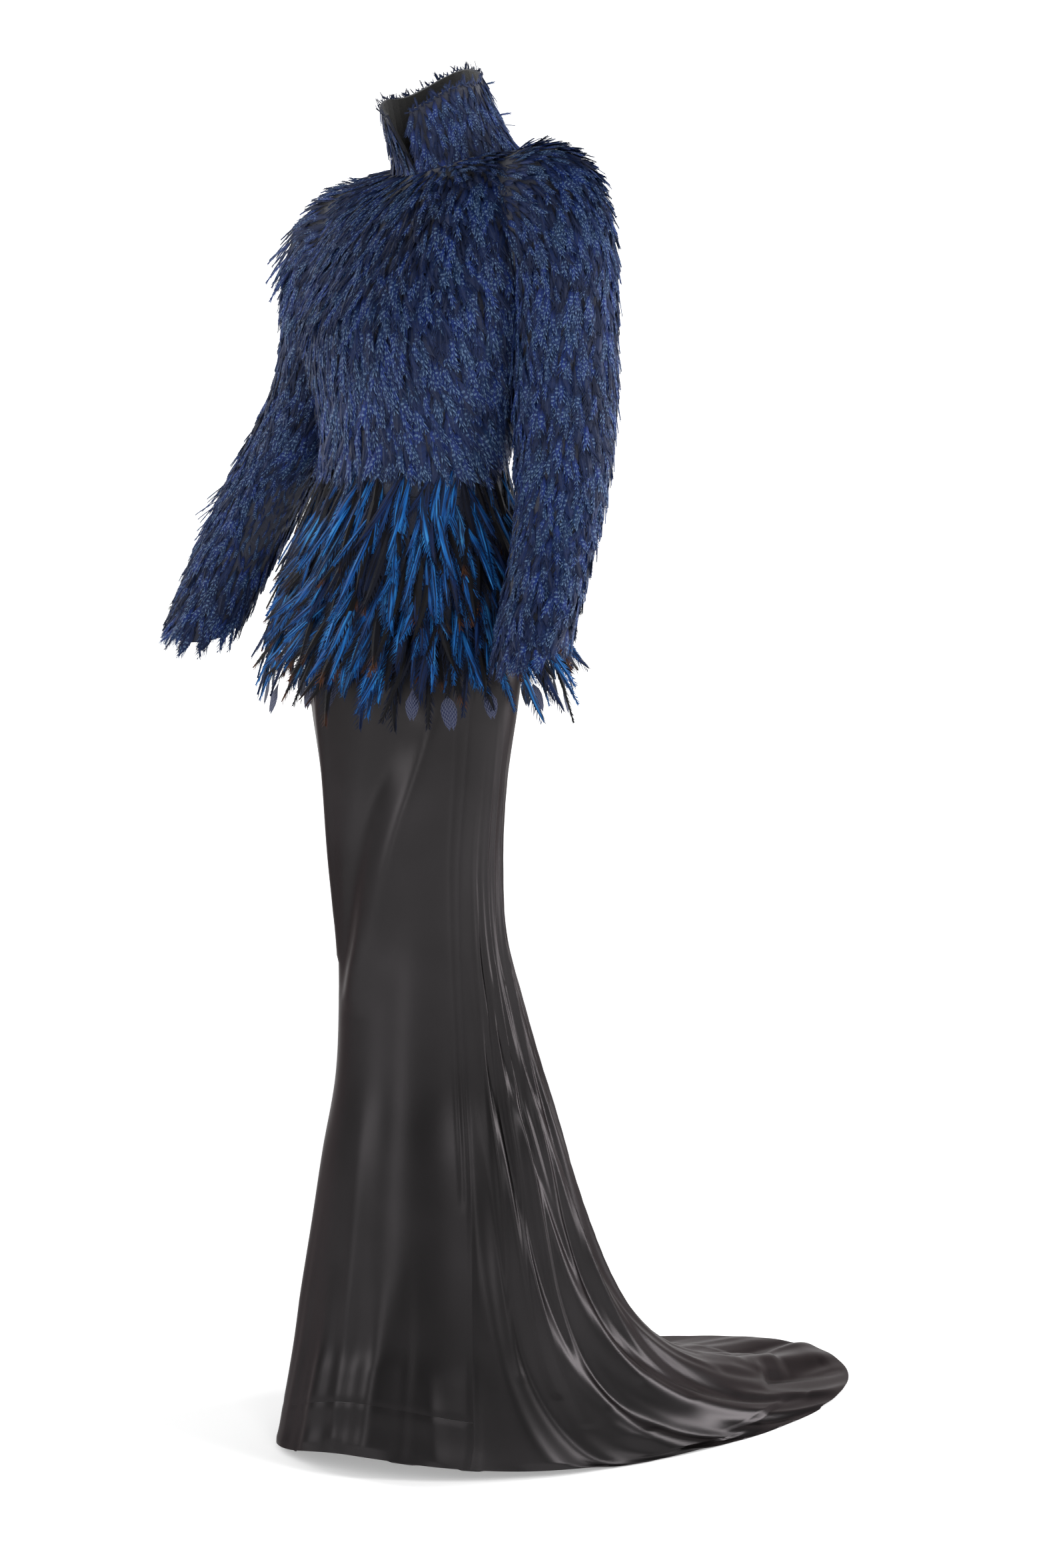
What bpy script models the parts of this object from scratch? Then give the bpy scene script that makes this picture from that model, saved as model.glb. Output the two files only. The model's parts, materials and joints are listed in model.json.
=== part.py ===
"""A feathered evening sheath dress, as it hangs on its wearer.

The bodice is a tailored tube with a high stand collar, open at the front, and long sleeves.
A flared peplum at the waist carries three rows of long feather locks. Under it a bias-cut
satin skirt narrows to the knee and opens into a train that lies on the floor behind.

Every cloth piece is a wall with an outer and an inner face. The wearer faces -Y, the wearer's
left is +X, and +Z is up. Tables give heights above the floor, and the origin is at the height
of the shoulder line, where the dress hangs from its wearer.
"""

import math
from collections import namedtuple

import bmesh
import bpy
from mathutils import Vector

# Driving sizes, in metres
SHOULDER_HEIGHT = 1.460
SATIN = 0.0016
FEATHERED_CLOTH = 0.0030
LINING = 0.0012
SEAM_GAP = 0.0003

# Where the panels meet, in degrees round the body from the centre front
SKIRT_SIDE_SEAM = 66.0
BODICE_SIDE_SEAM = 84.0
CENTRE_BACK = 180.0

Level = namedtuple("Level", "front side back centre width ahead behind gather")

# Rings of the bodice from the neck to the waist seam. front, side and back are heights there.
# centre is the ring's middle along Y, width its half width, ahead and behind its depths.
BODICE_LEVELS = [
    Level(1.459, 1.477, 1.496, 0.046, 0.074, 0.065, 0.063, 0),
    Level(1.452, 1.473, 1.488, 0.044, 0.092, 0.073, 0.070, 0),
    Level(1.442, 1.466, 1.476, 0.040, 0.116, 0.081, 0.077, 0),
    Level(1.423, 1.448, 1.453, 0.034, 0.138, 0.091, 0.084, 0),
    Level(1.393, 1.408, 1.411, 0.026, 0.150, 0.104, 0.092, 0),
    Level(1.352, 1.355, 1.356, 0.018, 0.153, 0.120, 0.098, 0),
    Level(1.312, 1.312, 1.312, 0.010, 0.152, 0.130, 0.100, 0),
    Level(1.270, 1.270, 1.270, 0.004, 0.147, 0.124, 0.098, 0),
    Level(1.225, 1.225, 1.225, -0.002, 0.136, 0.107, 0.092, 0),
    Level(1.180, 1.180, 1.180, -0.010, 0.124, 0.093, 0.084, 0),
    Level(1.140, 1.140, 1.140, -0.016, 0.121, 0.089, 0.080, 0),
    Level(1.100, 1.100, 1.100, -0.018, 0.126, 0.094, 0.084, 0),
]

# Rings of the skirt from the waist to the hem. gather turns the cloth's columns towards the
# front low down, so that most of the flare lies behind the wearer, in the train.
SKIRT_LEVELS = [
    Level(1.0991, 1.0991, 1.0991, -0.018, 0.1232, 0.0917, 0.0817, 0.00),
    Level(1.020, 1.020, 1.020, -0.018, 0.138, 0.100, 0.092, 0.00),
    Level(0.940, 0.940, 0.940, -0.020, 0.146, 0.102, 0.098, 0.00),
    Level(0.860, 0.860, 0.860, -0.020, 0.138, 0.096, 0.090, 0.00),
    Level(0.780, 0.780, 0.780, -0.019, 0.125, 0.089, 0.076, 0.00),
    Level(0.690, 0.690, 0.690, -0.018, 0.113, 0.086, 0.079, 0.00),
    Level(0.600, 0.600, 0.600, -0.010, 0.107, 0.086, 0.081, 0.02),
    Level(0.515, 0.515, 0.515, 0.002, 0.109, 0.099, 0.096, 0.05),
    Level(0.430, 0.430, 0.430, 0.013, 0.117, 0.115, 0.113, 0.09),
    Level(0.345, 0.345, 0.345, 0.022, 0.136, 0.138, 0.132, 0.14),
    Level(0.268, 0.262, 0.262, 0.033, 0.153, 0.160, 0.148, 0.20),
    Level(0.200, 0.190, 0.186, 0.047, 0.170, 0.184, 0.167, 0.26),
    Level(0.142, 0.130, 0.122, 0.070, 0.186, 0.216, 0.190, 0.32),
    Level(0.111, 0.083, 0.070, 0.102, 0.203, 0.257, 0.220, 0.38),
    Level(0.083, 0.046, 0.034, 0.138, 0.220, 0.301, 0.262, 0.43),
    Level(0.058, 0.020, 0.013, 0.176, 0.237, 0.344, 0.314, 0.48),
    Level(0.039, 0.006, 0.004, 0.210, 0.250, 0.383, 0.370, 0.52),
    Level(0.026, 0.002, 0.002, 0.238, 0.259, 0.414, 0.416, 0.55),
]
TRAIN_DRIFT = 0.012
TRAIN_START = 0.12
SHOULDER_LEAN = 0.085
HEM_LIFT_TURN = 22.0
HEM_BAND_START = 14

# The largest folds of the skirt: a ridge along the cloth from one level to another.
# turn and end_turn are degrees round the body, wide is the half width in degrees.
Fold = namedtuple("Fold", "turn end_turn start stop wide height")
SKIRT_FOLDS = [
    Fold(54, -16, 3.0, 6.9, 15, 0.0080),
    Fold(-42, -46, 8.5, 17.0, 8, 0.0050),
    Fold(-8, -12, 10.5, 17.0, 8, 0.0050),
    Fold(24, 28, 10.5, 17.0, 8, 0.0060),
    Fold(68, 88, 9.0, 17.0, 6, 0.0065),
    Fold(71, 113, 6.2, 16.0, 7, 0.0090),
    Fold(76, 134, 5.2, 15.5, 7, 0.0110),
    Fold(85, 156, 5.2, 15.0, 7, 0.0120),
    Fold(104, 170, 4.8, 15.5, 7, 0.0100),
    Fold(128, 181, 4.8, 15.5, 7, 0.0100),
    Fold(152, 178, 13.0, 17.0, 6, 0.0090),
    Fold(288, 272, 9.0, 17.0, 6, 0.0065),
    Fold(286, 250, 6.2, 16.0, 7, 0.0090),
    Fold(280, 229, 5.2, 15.5, 7, 0.0110),
    Fold(268, 207, 5.2, 15.0, 7, 0.0110),
    Fold(246, 194, 4.8, 15.5, 7, 0.0100),
    Fold(218, 186, 4.8, 14.0, 7, 0.0080),
]

# Rings of the peplum from the waist seam to the feather tips
PEPLUM_LEVELS = [
    Level(1.0992, 1.0992, 1.0992, -0.018, 0.1260, 0.0945, 0.0845, 0),
    Level(1.050, 1.050, 1.050, -0.018, 0.143, 0.107, 0.098, 0),
    Level(1.000, 1.000, 1.000, -0.018, 0.159, 0.119, 0.110, 0),
    Level(0.950, 0.950, 0.950, -0.018, 0.171, 0.127, 0.120, 0),
    Level(0.900, 0.900, 0.900, -0.018, 0.178, 0.131, 0.128, 0),
    Level(0.850, 0.850, 0.850, -0.018, 0.183, 0.134, 0.134, 0),
]
PEPLUM_CLOTH_END = 3.0

# Feather rows: where the strip is sewn, in peplum levels, its strands and their reach in levels
FeatherRow = namedtuple("FeatherRow", "name start strands reach lift")
FEATHER_ROWS = [
    FeatherRow("feather_row_upper", 0.10, 44, 2.35, 0.0140),
    FeatherRow("feather_row_middle", 1.30, 50, 2.35, 0.0140),
    FeatherRow("feather_row_lower", 2.50, 56, 2.40, 0.0140),
]
STRIP_DEPTH = 0.20
STRIP_THICK = 0.0024
STRAND_SECTIONS = ((0.55, 1.70),)

# Rings of a sleeve from the armhole to the cuff. x, y and height are the middle. tilt is how far
# the ring's face turns from facing outwards to facing down, forward its swing to the front.
Ring = namedtuple("Ring", "x y height tilt forward across deep")
LEFT_SLEEVE = [
    Ring(0.102, 0.036, 1.402, 3, 0, 0.070, 0.056),
    Ring(0.130, 0.036, 1.403, 8, 0, 0.073, 0.057),
    Ring(0.152, 0.036, 1.395, 24, 0, 0.074, 0.057),
    Ring(0.168, 0.036, 1.373, 42, 0, 0.069, 0.057),
    Ring(0.178, 0.036, 1.340, 61, 0, 0.062, 0.057),
    Ring(0.182, 0.035, 1.302, 76, 2, 0.057, 0.057),
    Ring(0.186, 0.031, 1.248, 83, 5, 0.056, 0.057),
    Ring(0.193, 0.025, 1.182, 84, 9, 0.054, 0.055),
    Ring(0.200, 0.012, 1.122, 85, 15, 0.052, 0.053),
    Ring(0.211, -0.012, 1.062, 86, 21, 0.050, 0.051),
    Ring(0.222, -0.041, 1.000, 86, 22, 0.047, 0.047),
    Ring(0.232, -0.069, 0.938, 86, 22, 0.042, 0.042),
]
RIGHT_SLEEVE = [
    Ring(0.102, 0.036, 1.398, 3, 0, 0.068, 0.057),
    Ring(0.130, 0.036, 1.398, 8, 0, 0.071, 0.059),
    Ring(0.156, 0.036, 1.389, 24, 0, 0.074, 0.060),
    Ring(0.175, 0.036, 1.365, 42, 0, 0.072, 0.060),
    Ring(0.186, 0.036, 1.332, 60, 0, 0.065, 0.059),
    Ring(0.188, 0.034, 1.290, 73, 3, 0.059, 0.058),
    Ring(0.195, 0.028, 1.240, 77, 9, 0.056, 0.057),
    Ring(0.210, 0.012, 1.186, 76, 18, 0.054, 0.055),
    Ring(0.229, -0.009, 1.134, 76, 24, 0.053, 0.054),
    Ring(0.246, -0.036, 1.074, 77, 25, 0.051, 0.052),
    Ring(0.260, -0.065, 1.012, 78, 25, 0.048, 0.049),
    Ring(0.272, -0.095, 0.946, 78, 25, 0.043, 0.044),
]

# Rings of the stand collar from its top edge to its base. gap is half the opening between its front edges, in degrees.
CollarRing = namedtuple("CollarRing", "front side back centre width ahead behind gap")
COLLAR_LEVELS = [
    CollarRing(1.522, 1.552, 1.580, 0.008, 0.0600, 0.0550, 0.0540, 18.0),
    CollarRing(1.499, 1.524, 1.548, 0.022, 0.0625, 0.0565, 0.0560, 11.0),
    CollarRing(1.477, 1.497, 1.518, 0.036, 0.0670, 0.0590, 0.0590, 4.0),
    CollarRing(1.4594, 1.4774, 1.4964, 0.046, 0.0738, 0.0648, 0.0628, 0.6),
]


# How levels and rings are blended into smooth surfaces


def between(rows, place):
    """The row of a table at a fractional place, on a smooth curve through its rows."""
    last = len(rows) - 1
    place = min(max(place, 0.0), float(last))
    i = min(int(place), last - 1)
    t = place - i
    before, start = rows[max(i - 1, 0)], rows[i]
    end, after = rows[i + 1], rows[min(i + 2, last)]
    values = []
    for a, b, c, d in zip(before, start, end, after):
        slope_in = (c - a) / 2
        slope_out = (d - b) / 2
        blend = t * t * (3 - 2 * t)
        bend_in = t * (1 - t) ** 2
        bend_out = -t * t * (1 - t)
        values.append(b + (c - b) * blend + slope_in * bend_in + slope_out * bend_out)
    return type(start)(*values)


def ring_height(level, turn):
    """Height of a ring at an angle: it runs from front over side to back."""
    towards_front = math.cos(turn)
    end = level.front if towards_front > 0 else level.back
    return level.side + (end - level.side) * towards_front**2


def ring_point(level, turn, gather=0.0):
    """A point of a ring that is an ellipse with unlike front and back depths."""
    angle = turn - gather * math.sin(turn)
    depth = level.ahead if math.cos(angle) > 0 else level.behind
    x = level.width * math.sin(angle)
    y = level.centre - depth * math.cos(angle)
    return Vector((x, y, ring_height(level, turn) - SHOULDER_HEIGHT))


def skirt_base(turn, place):
    """The skirt without its folds. Its front hem is highest a little to the wearer's left."""
    level = between(SKIRT_LEVELS, place)
    point = ring_point(level, turn, level.gather)
    point.z = ring_height(level, turn - math.radians(HEM_LIFT_TURN)) - SHOULDER_HEIGHT
    train_length = SKIRT_LEVELS[-1].centre + SKIRT_LEVELS[-1].behind - TRAIN_START
    along = max(0.0, point.y - TRAIN_START) / train_length
    point.x += TRAIN_DRIFT * along**1.3
    return point


def outward(surface, turn, place):
    """The outward direction of a surface, from its slopes round the body and down it."""
    step = 0.01
    around = surface(turn + step, place) - surface(turn - step, place)
    down = surface(turn, place + step) - surface(turn, place - step)
    return down.cross(around).normalized()


def fold_height(turn, place):
    """How far the folds lift the cloth here. A fold fades in and out along its length."""
    degrees = math.degrees(turn) % 360
    lift = 0.0
    for fold in SKIRT_FOLDS:
        if not fold.start < place <= fold.stop:
            continue
        share = (place - fold.start) / (fold.stop - fold.start)
        middle = fold.turn + (fold.end_turn - fold.turn) * share
        apart = (degrees - middle + 180) % 360 - 180
        fade = min(1.0, 3.0 * share) * min(1.0, 0.45 + 4.0 * (1 - share))
        lift += fold.height * fade * math.exp(-((apart / fold.wide) ** 2))
    return lift


def skirt_surface(turn, place):
    """The outer face of the skirt, with its folds."""
    lift = fold_height(turn, place)
    return skirt_base(turn, place) + outward(skirt_base, turn, place) * lift


def lean(point):
    """The wearer's left shoulder is held higher: above the waist, heights rise to the left."""
    above_waist = min(max((point.z + SHOULDER_HEIGHT - 1.12) / 0.30, 0.0), 1.0)
    point.z += SHOULDER_LEAN * point.x * above_waist**2 * (3 - 2 * above_waist)
    return point


def bodice_surface(turn, place):
    return lean(ring_point(between(BODICE_LEVELS, place), turn))


def peplum_surface(turn, place):
    return ring_point(between(PEPLUM_LEVELS, place), turn)


def collar_surface(turn, place):
    return lean(ring_point(between(COLLAR_LEVELS, place), turn))


# How walls are made


def material(name, colour, roughness):
    made = bpy.data.materials.new(name)
    made.use_nodes = True
    shader = made.node_tree.nodes["Principled BSDF"]
    shader.inputs["Base Color"].default_value = (*colour, 1.0)
    shader.inputs["Roughness"].default_value = roughness
    return made


def new_object(name, mesh, finish, collection):
    made = bpy.data.objects.new(name, mesh)
    made.data.materials.append(finish)
    collection.objects.link(made)
    return made


def grid_faces(shape, grid, closed, facing_out):
    """Two triangles for each cell of a grid of vertices, always split the same way."""
    columns = len(grid[0])
    for upper, lower in zip(grid, grid[1:]):
        for i in range(columns if closed else columns - 1):
            k = (i + 1) % columns
            for corners in ((upper[i], lower[i], lower[k]), (upper[i], lower[k], upper[k])):
                shape.faces.new(corners if facing_out else corners[::-1])


def wall_mesh(name, outside, inside, closed):
    """A cloth wall between two grids of points. Rows run down, columns run round the body."""
    shape = bmesh.new()
    outer = [[shape.verts.new(p) for p in row] for row in outside]
    inner = [[shape.verts.new(p) for p in row] for row in inside]
    grid_faces(shape, outer, closed, True)
    grid_faces(shape, inner, closed, False)
    rows, columns = len(outer), len(outer[0])
    for i in range(columns if closed else columns - 1):
        k = (i + 1) % columns
        shape.faces.new((outer[0][i], outer[0][k], inner[0][k], inner[0][i]))
        shape.faces.new((inner[-1][i], inner[-1][k], outer[-1][k], outer[-1][i]))
    if not closed:
        for j in range(rows - 1):
            for i in (0, -1):
                shape.faces.new((inner[j][i], inner[j + 1][i], outer[j + 1][i]))
                shape.faces.new((inner[j][i], outer[j + 1][i], outer[j][i]))
    bmesh.ops.recalc_face_normals(shape, faces=shape.faces)
    mesh = bpy.data.meshes.new(name)
    shape.to_mesh(mesh)
    shape.free()
    mesh.shade_smooth()
    mesh.set_sharp_from_angle(angle=math.radians(50))
    return mesh


def seam_ends(row, left, right):
    """Moves the first and last point of a row in by half the seam gap."""
    moved = [p.copy() for p in row]
    if left:
        moved[0] += (row[1] - row[0]).normalized() * SEAM_GAP / 2
    if right:
        moved[-1] += (row[-2] - row[-1]).normalized() * SEAM_GAP / 2
    return moved


def evenly(start, stop, count):
    return [start + (stop - start) * i / count for i in range(count + 1)]


def panel(name, surface, turns, places, thick, finish, collection, floor=None, proud=0.0):
    """A cloth panel between two angles, given in degrees, and two places along a surface."""
    outside, inside = [], []
    for place in places:
        outer_row, inner_row = [], []
        for degrees in turns:
            turn = math.radians(degrees)
            direction = outward(surface, turn, place)
            point = surface(turn, place) + direction * proud
            under = point - direction * thick
            if floor is not None and under.z < floor:
                point.z += floor - under.z
                under.z = floor
            outer_row.append(point)
            inner_row.append(under)
        outside.append(seam_ends(outer_row, True, True))
        inside.append(seam_ends(inner_row, True, True))
    return new_object(name, wall_mesh(name, outside, inside, False), finish, collection)


# The skirt and its train


def floor_level():
    return -SHOULDER_HEIGHT


def make_skirt(satin, collection):
    """Front panel with its hem band, and two back panels that meet at the centre back."""
    last = len(SKIRT_LEVELS) - 1
    gap = 0.006
    seam = SKIRT_SIDE_SEAM
    floor = floor_level()
    upper = evenly(0, HEM_BAND_START - 1, HEM_BAND_START - 1) + [HEM_BAND_START - gap]
    front = evenly(-seam, seam, 16)
    panel("skirt_front", skirt_surface, front, upper, SATIN, satin, collection, floor)
    band = [HEM_BAND_START + gap] + evenly(HEM_BAND_START + 1, last, last - HEM_BAND_START - 1)
    panel("skirt_front_hem_band", skirt_surface, front, band, SATIN, satin, collection, floor)
    whole = evenly(0, last, last)
    left = evenly(seam, CENTRE_BACK, 20)
    right = evenly(CENTRE_BACK, 360 - seam, 20)
    panel("skirt_back_left", skirt_surface, left, whole, SATIN, satin, collection, floor)
    panel("skirt_back_right", skirt_surface, right, whole, SATIN, satin, collection, floor)


# The bodice and the sleeves


def sleeve_ring(ring, side, grown, turns):
    """Points round a sleeve, grown outwards by a distance. side is 1 for the wearer's left.

    Angle 0 is the outside of the arm, 90 its back and 270 its front.
    """
    tilt, forward = math.radians(ring.tilt), math.radians(ring.forward)
    middle = Vector((ring.x, ring.y, ring.height - SHOULDER_HEIGHT))
    up = math.cos(tilt)
    across = Vector((math.sin(tilt), -math.sin(forward) * up, math.cos(forward) * up))
    deep = Vector((0.0, math.cos(forward), math.sin(forward)))
    points = []
    for degrees in turns:
        turn = math.radians(degrees)
        point = middle + across * (ring.across + grown) * math.cos(turn)
        point += deep * (ring.deep + grown) * math.sin(turn)
        points.append(lean(Vector((point.x * side, point.y, point.z))))
    return points


def tube_solid(name, rings, collection):
    """A closed solid through rings of points, used as a cutter."""
    shape = bmesh.new()
    made = [[shape.verts.new(p) for p in ring] for ring in rings]
    grid_faces(shape, made, True, True)
    shape.faces.new(made[0])
    shape.faces.new(made[-1])
    bmesh.ops.recalc_face_normals(shape, faces=shape.faces)
    mesh = bpy.data.meshes.new(name)
    shape.to_mesh(mesh)
    shape.free()
    cutter = bpy.data.objects.new(name, mesh)
    cutter.hide_render = True
    cutter.display_type = "WIRE"
    collection.objects.link(cutter)
    return cutter


def cut(target, cutter):
    modifier = target.modifiers.new("cut_" + cutter.name, "BOOLEAN")
    modifier.operation = "DIFFERENCE"
    modifier.object = cutter


def bodice_spans():
    """The bodice panels and the angles of their columns, in order round the body."""
    seam = BODICE_SIDE_SEAM
    return {
        "bodice_front_left": evenly(0, seam, 10),
        "bodice_back": evenly(seam, 360 - seam, 22),
        "bodice_front_right": evenly(360 - seam, 360, 10),
    }


def torso_cutter(collection):
    """The space inside the bodice's outer face, so that a sleeve stops just outside it."""
    rings = []
    columns = [degrees for turns in bodice_spans().values() for degrees in turns[:-1]]
    last = len(BODICE_LEVELS) - 1
    for place in evenly(0, last, last):
        row = []
        for degrees in columns:
            turn = math.radians(degrees)
            direction = outward(bodice_surface, turn, place)
            row.append(bodice_surface(turn, place) + direction * SEAM_GAP)
        rings.append(row)
    return tube_solid("torso_space", rings, collection)


def make_bodice(cloth, collection, cutters):
    """Two fronts that meet under the collar opening, a back, and two set-in sleeves.

    A tailored sleeve is cut in two: the top half lies outside the arm, the under half inside.
    """
    last = len(BODICE_LEVELS) - 1
    places = evenly(0, last, last)
    thick = FEATHERED_CLOTH
    panels = [
        panel(name, bodice_surface, turns, places, thick, cloth, collection)
        for name, turns in bodice_spans().items()
    ]
    torso = torso_cutter(cutters)
    for side_name, table, side in (("left", LEFT_SLEEVE, 1), ("right", RIGHT_SLEEVE, -1)):
        for half_name, turns in (("top", evenly(-90, 90, 9)), ("under", evenly(90, 270, 9))):
            name = "sleeve_" + side_name + "_" + half_name
            outside, inside = [], []
            for ring in table:
                outside.append(seam_ends(sleeve_ring(ring, side, 0.0, turns), True, True))
                inside.append(seam_ends(sleeve_ring(ring, side, -thick, turns), True, True))
            mesh = wall_mesh(name, outside, inside, False)
            sleeve = new_object(name, mesh, cloth, collection)
            cut(sleeve, torso)
        around = evenly(-90, 270, 18)[:-1]
        rings = [sleeve_ring(ring, side, -thick, around) for ring in table]
        armhole = tube_solid("armhole_" + side_name, rings, cutters)
        for piece in panels:
            cut(piece, armhole)


# The collar


def make_collar(cloth, lining, collection):
    """A stand collar whose front edges part upwards, with a lining that shows inside it."""
    last = len(COLLAR_LEVELS) - 1
    for name, thick, proud, finish in (
        ("collar", FEATHERED_CLOTH, 0.0, cloth),
        ("collar_lining", LINING, -FEATHERED_CLOTH - SEAM_GAP, lining),
    ):
        outside, inside = [], []
        for place in evenly(0, last, 4):
            gap = between(COLLAR_LEVELS, place).gap
            outer_row, inner_row = [], []
            for degrees in evenly(gap, 360 - gap, 26):
                turn = math.radians(degrees)
                direction = outward(collar_surface, turn, place)
                point = collar_surface(turn, place) + direction * proud
                outer_row.append(point)
                inner_row.append(point - direction * thick)
            outside.append(outer_row)
            inside.append(inner_row)
        new_object(name, wall_mesh(name, outside, inside, False), finish, collection)


# The peplum and its feather rows


def make_peplum(cloth, collection):
    """The flared cloth that carries the feather rows, in two halves open at the front."""
    places = evenly(0, PEPLUM_CLOTH_END, 3)
    for name, turns in (
        ("peplum_left", evenly(0, 180, 16)),
        ("peplum_right", evenly(180, 360, 16)),
    ):
        panel(name, peplum_surface, turns, places, SATIN, cloth, collection)


def strand_turn(turn, share, index):
    """How a strand sways as it falls: it sweeps back from the front, and neighbours differ."""
    sweep = -0.20 * math.sin(turn) * share**1.5 * 0.5
    sway = 0.030 * math.sin(2.4 * index) * share**2
    return turn + sweep + sway


def make_feather_row(row, feather, collection):
    """A narrow sewn strip, with a four-sided lock of feathers from every other face below it."""
    columns = row.strands * 2
    base = SEAM_GAP
    shape = bmesh.new()
    turns = [math.radians(360.0 * i / columns) for i in range(columns)]

    def at(turn, place, lift):
        point = peplum_surface(turn, place)
        return point + outward(peplum_surface, turn, place) * lift

    def ring(place, lift):
        return [shape.verts.new(at(turn, place, lift)) for turn in turns]

    foot = row.start + STRIP_DEPTH
    top_in, top_out = ring(row.start, base), ring(row.start, base + STRIP_THICK)
    low_in, low_out = ring(foot, base), ring(foot, base + STRIP_THICK)
    for i in range(columns):
        k = (i + 1) % columns
        shape.faces.new((top_out[i], low_out[i], low_out[k], top_out[k]))
        shape.faces.new((top_in[k], low_in[k], low_in[i], top_in[i]))
        shape.faces.new((top_in[i], top_out[i], top_out[k], top_in[k]))
        root = (low_in[k], low_out[k], low_out[i], low_in[i])
        if i % 2:
            shape.faces.new(root)
            continue
        index = i // 2
        middle = (turns[i] + turns[i] + 2 * math.pi / columns) / 2
        half = math.pi / columns
        length = row.reach * (0.90 + 0.10 * math.sin(1.7 * index))
        above = list(root)
        for share, fullness in STRAND_SECTIONS:
            place = foot + length * share
            turn = strand_turn(middle, share, index)
            lift = base + row.lift * share
            thick = STRIP_THICK * 1.15
            sides = (half * fullness, half * fullness, -half * fullness, -half * fullness)
            lifts = (lift, lift + thick, lift + thick, lift)
            below = [
                shape.verts.new(at(turn + side, place, height))
                for side, height in zip(sides, lifts)
            ]
            for a in range(4):
                b = (a + 1) % 4
                shape.faces.new((above[a], above[b], below[b], below[a]))
            above = below
        tip_turn = strand_turn(middle, 1.0, index)
        tip = shape.verts.new(at(tip_turn, foot + length, base + row.lift + STRIP_THICK / 2))
        for a in range(4):
            shape.faces.new((above[a], above[(a + 1) % 4], tip))
    bmesh.ops.recalc_face_normals(shape, faces=shape.faces)
    mesh = bpy.data.meshes.new(row.name)
    shape.to_mesh(mesh)
    shape.free()
    mesh.shade_smooth()
    mesh.set_sharp_from_angle(angle=math.radians(40))
    return new_object(row.name, mesh, feather, collection)


def new_collection(name):
    made = bpy.data.collections.new(name)
    bpy.context.scene.collection.children.link(made)
    return made


def main():
    for old in list(bpy.data.objects):
        bpy.data.objects.remove(old)
    dress = new_collection("feathered_sheath_dress")
    cutters = new_collection("cutters")
    satin = material("black_satin", (0.012, 0.011, 0.012), 0.38)
    plumage = material("navy_feathered_cloth", (0.016, 0.026, 0.085), 0.62)
    hackle = material("blue_hackle_feather", (0.020, 0.075, 0.240), 0.50)
    lining = material("black_lining", (0.014, 0.014, 0.013), 0.55)
    make_skirt(satin, dress)
    make_bodice(plumage, dress, cutters)
    make_collar(plumage, lining, dress)
    make_peplum(plumage, dress)
    for row in FEATHER_ROWS:
        make_feather_row(row, hackle, dress)


main()
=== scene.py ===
# %% [markdown]
# # A feathered evening sheath dress
# This lesson dresses a imported model of the dress: a feathered bodice with a stand collar and
# long sleeves, a peplum of long feathers, and a black satin skirt that ends in a train. The
# imported solids give the size and the place of every piece. The box round them is kept,
# because the finished look has to stay inside it. The box round them is kept, and at the end
# the script prints how far the dressed model's box has moved from it.

import json
import math
import random
from collections import namedtuple

import bmesh
import bpy
from mathutils import Matrix, Vector

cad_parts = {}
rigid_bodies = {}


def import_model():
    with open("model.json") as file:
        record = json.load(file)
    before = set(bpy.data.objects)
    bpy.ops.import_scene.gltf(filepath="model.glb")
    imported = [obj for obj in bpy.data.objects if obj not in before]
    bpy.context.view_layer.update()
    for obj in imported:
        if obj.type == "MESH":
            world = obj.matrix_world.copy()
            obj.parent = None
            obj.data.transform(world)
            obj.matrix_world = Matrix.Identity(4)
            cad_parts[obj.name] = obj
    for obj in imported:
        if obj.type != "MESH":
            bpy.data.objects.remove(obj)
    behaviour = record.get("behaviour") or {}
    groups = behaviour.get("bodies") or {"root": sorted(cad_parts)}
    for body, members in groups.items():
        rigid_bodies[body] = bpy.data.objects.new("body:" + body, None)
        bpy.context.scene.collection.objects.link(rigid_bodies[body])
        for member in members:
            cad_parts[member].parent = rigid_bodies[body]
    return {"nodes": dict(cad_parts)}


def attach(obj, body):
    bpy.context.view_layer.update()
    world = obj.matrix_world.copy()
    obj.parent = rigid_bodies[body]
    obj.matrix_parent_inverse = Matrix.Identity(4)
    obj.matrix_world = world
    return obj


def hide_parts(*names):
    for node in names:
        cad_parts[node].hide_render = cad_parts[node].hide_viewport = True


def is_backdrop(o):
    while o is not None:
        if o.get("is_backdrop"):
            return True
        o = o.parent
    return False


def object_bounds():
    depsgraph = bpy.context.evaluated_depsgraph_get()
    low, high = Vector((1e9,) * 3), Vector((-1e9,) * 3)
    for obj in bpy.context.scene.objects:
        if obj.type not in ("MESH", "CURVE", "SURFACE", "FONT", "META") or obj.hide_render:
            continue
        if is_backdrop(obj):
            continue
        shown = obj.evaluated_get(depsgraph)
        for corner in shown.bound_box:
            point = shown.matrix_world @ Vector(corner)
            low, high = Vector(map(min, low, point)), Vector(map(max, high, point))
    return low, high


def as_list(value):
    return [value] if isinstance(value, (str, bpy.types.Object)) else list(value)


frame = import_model()
cad_low, cad_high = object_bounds()
FLOOR = cad_low.z
scene = bpy.context.scene
print("solids:", sorted(frame["nodes"]))
print("box:", [round(v, 3) for v in (*cad_low, *cad_high)])

# %% [markdown]
# ## The camera
# The dress was photographed from its left front, a little above the middle, from about four
# and a half metres. A long lens keeps the proportions calm. The camera looks past the dress,
# which stands left of the picture's middle so that the train has room on the right.

# %% Camera
SHOULDER_HEIGHT = 1.460
CAMERA_TURN = math.radians(45.0)
CAMERA_DISTANCE = 4.5
CAMERA_HEIGHT = 1.214
CAMERA_PITCH = math.radians(-5.65)
CAMERA_YAW = math.radians(-1.39)
FOCAL_SHARE = 2.5196
SENSOR = 36.0

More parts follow.
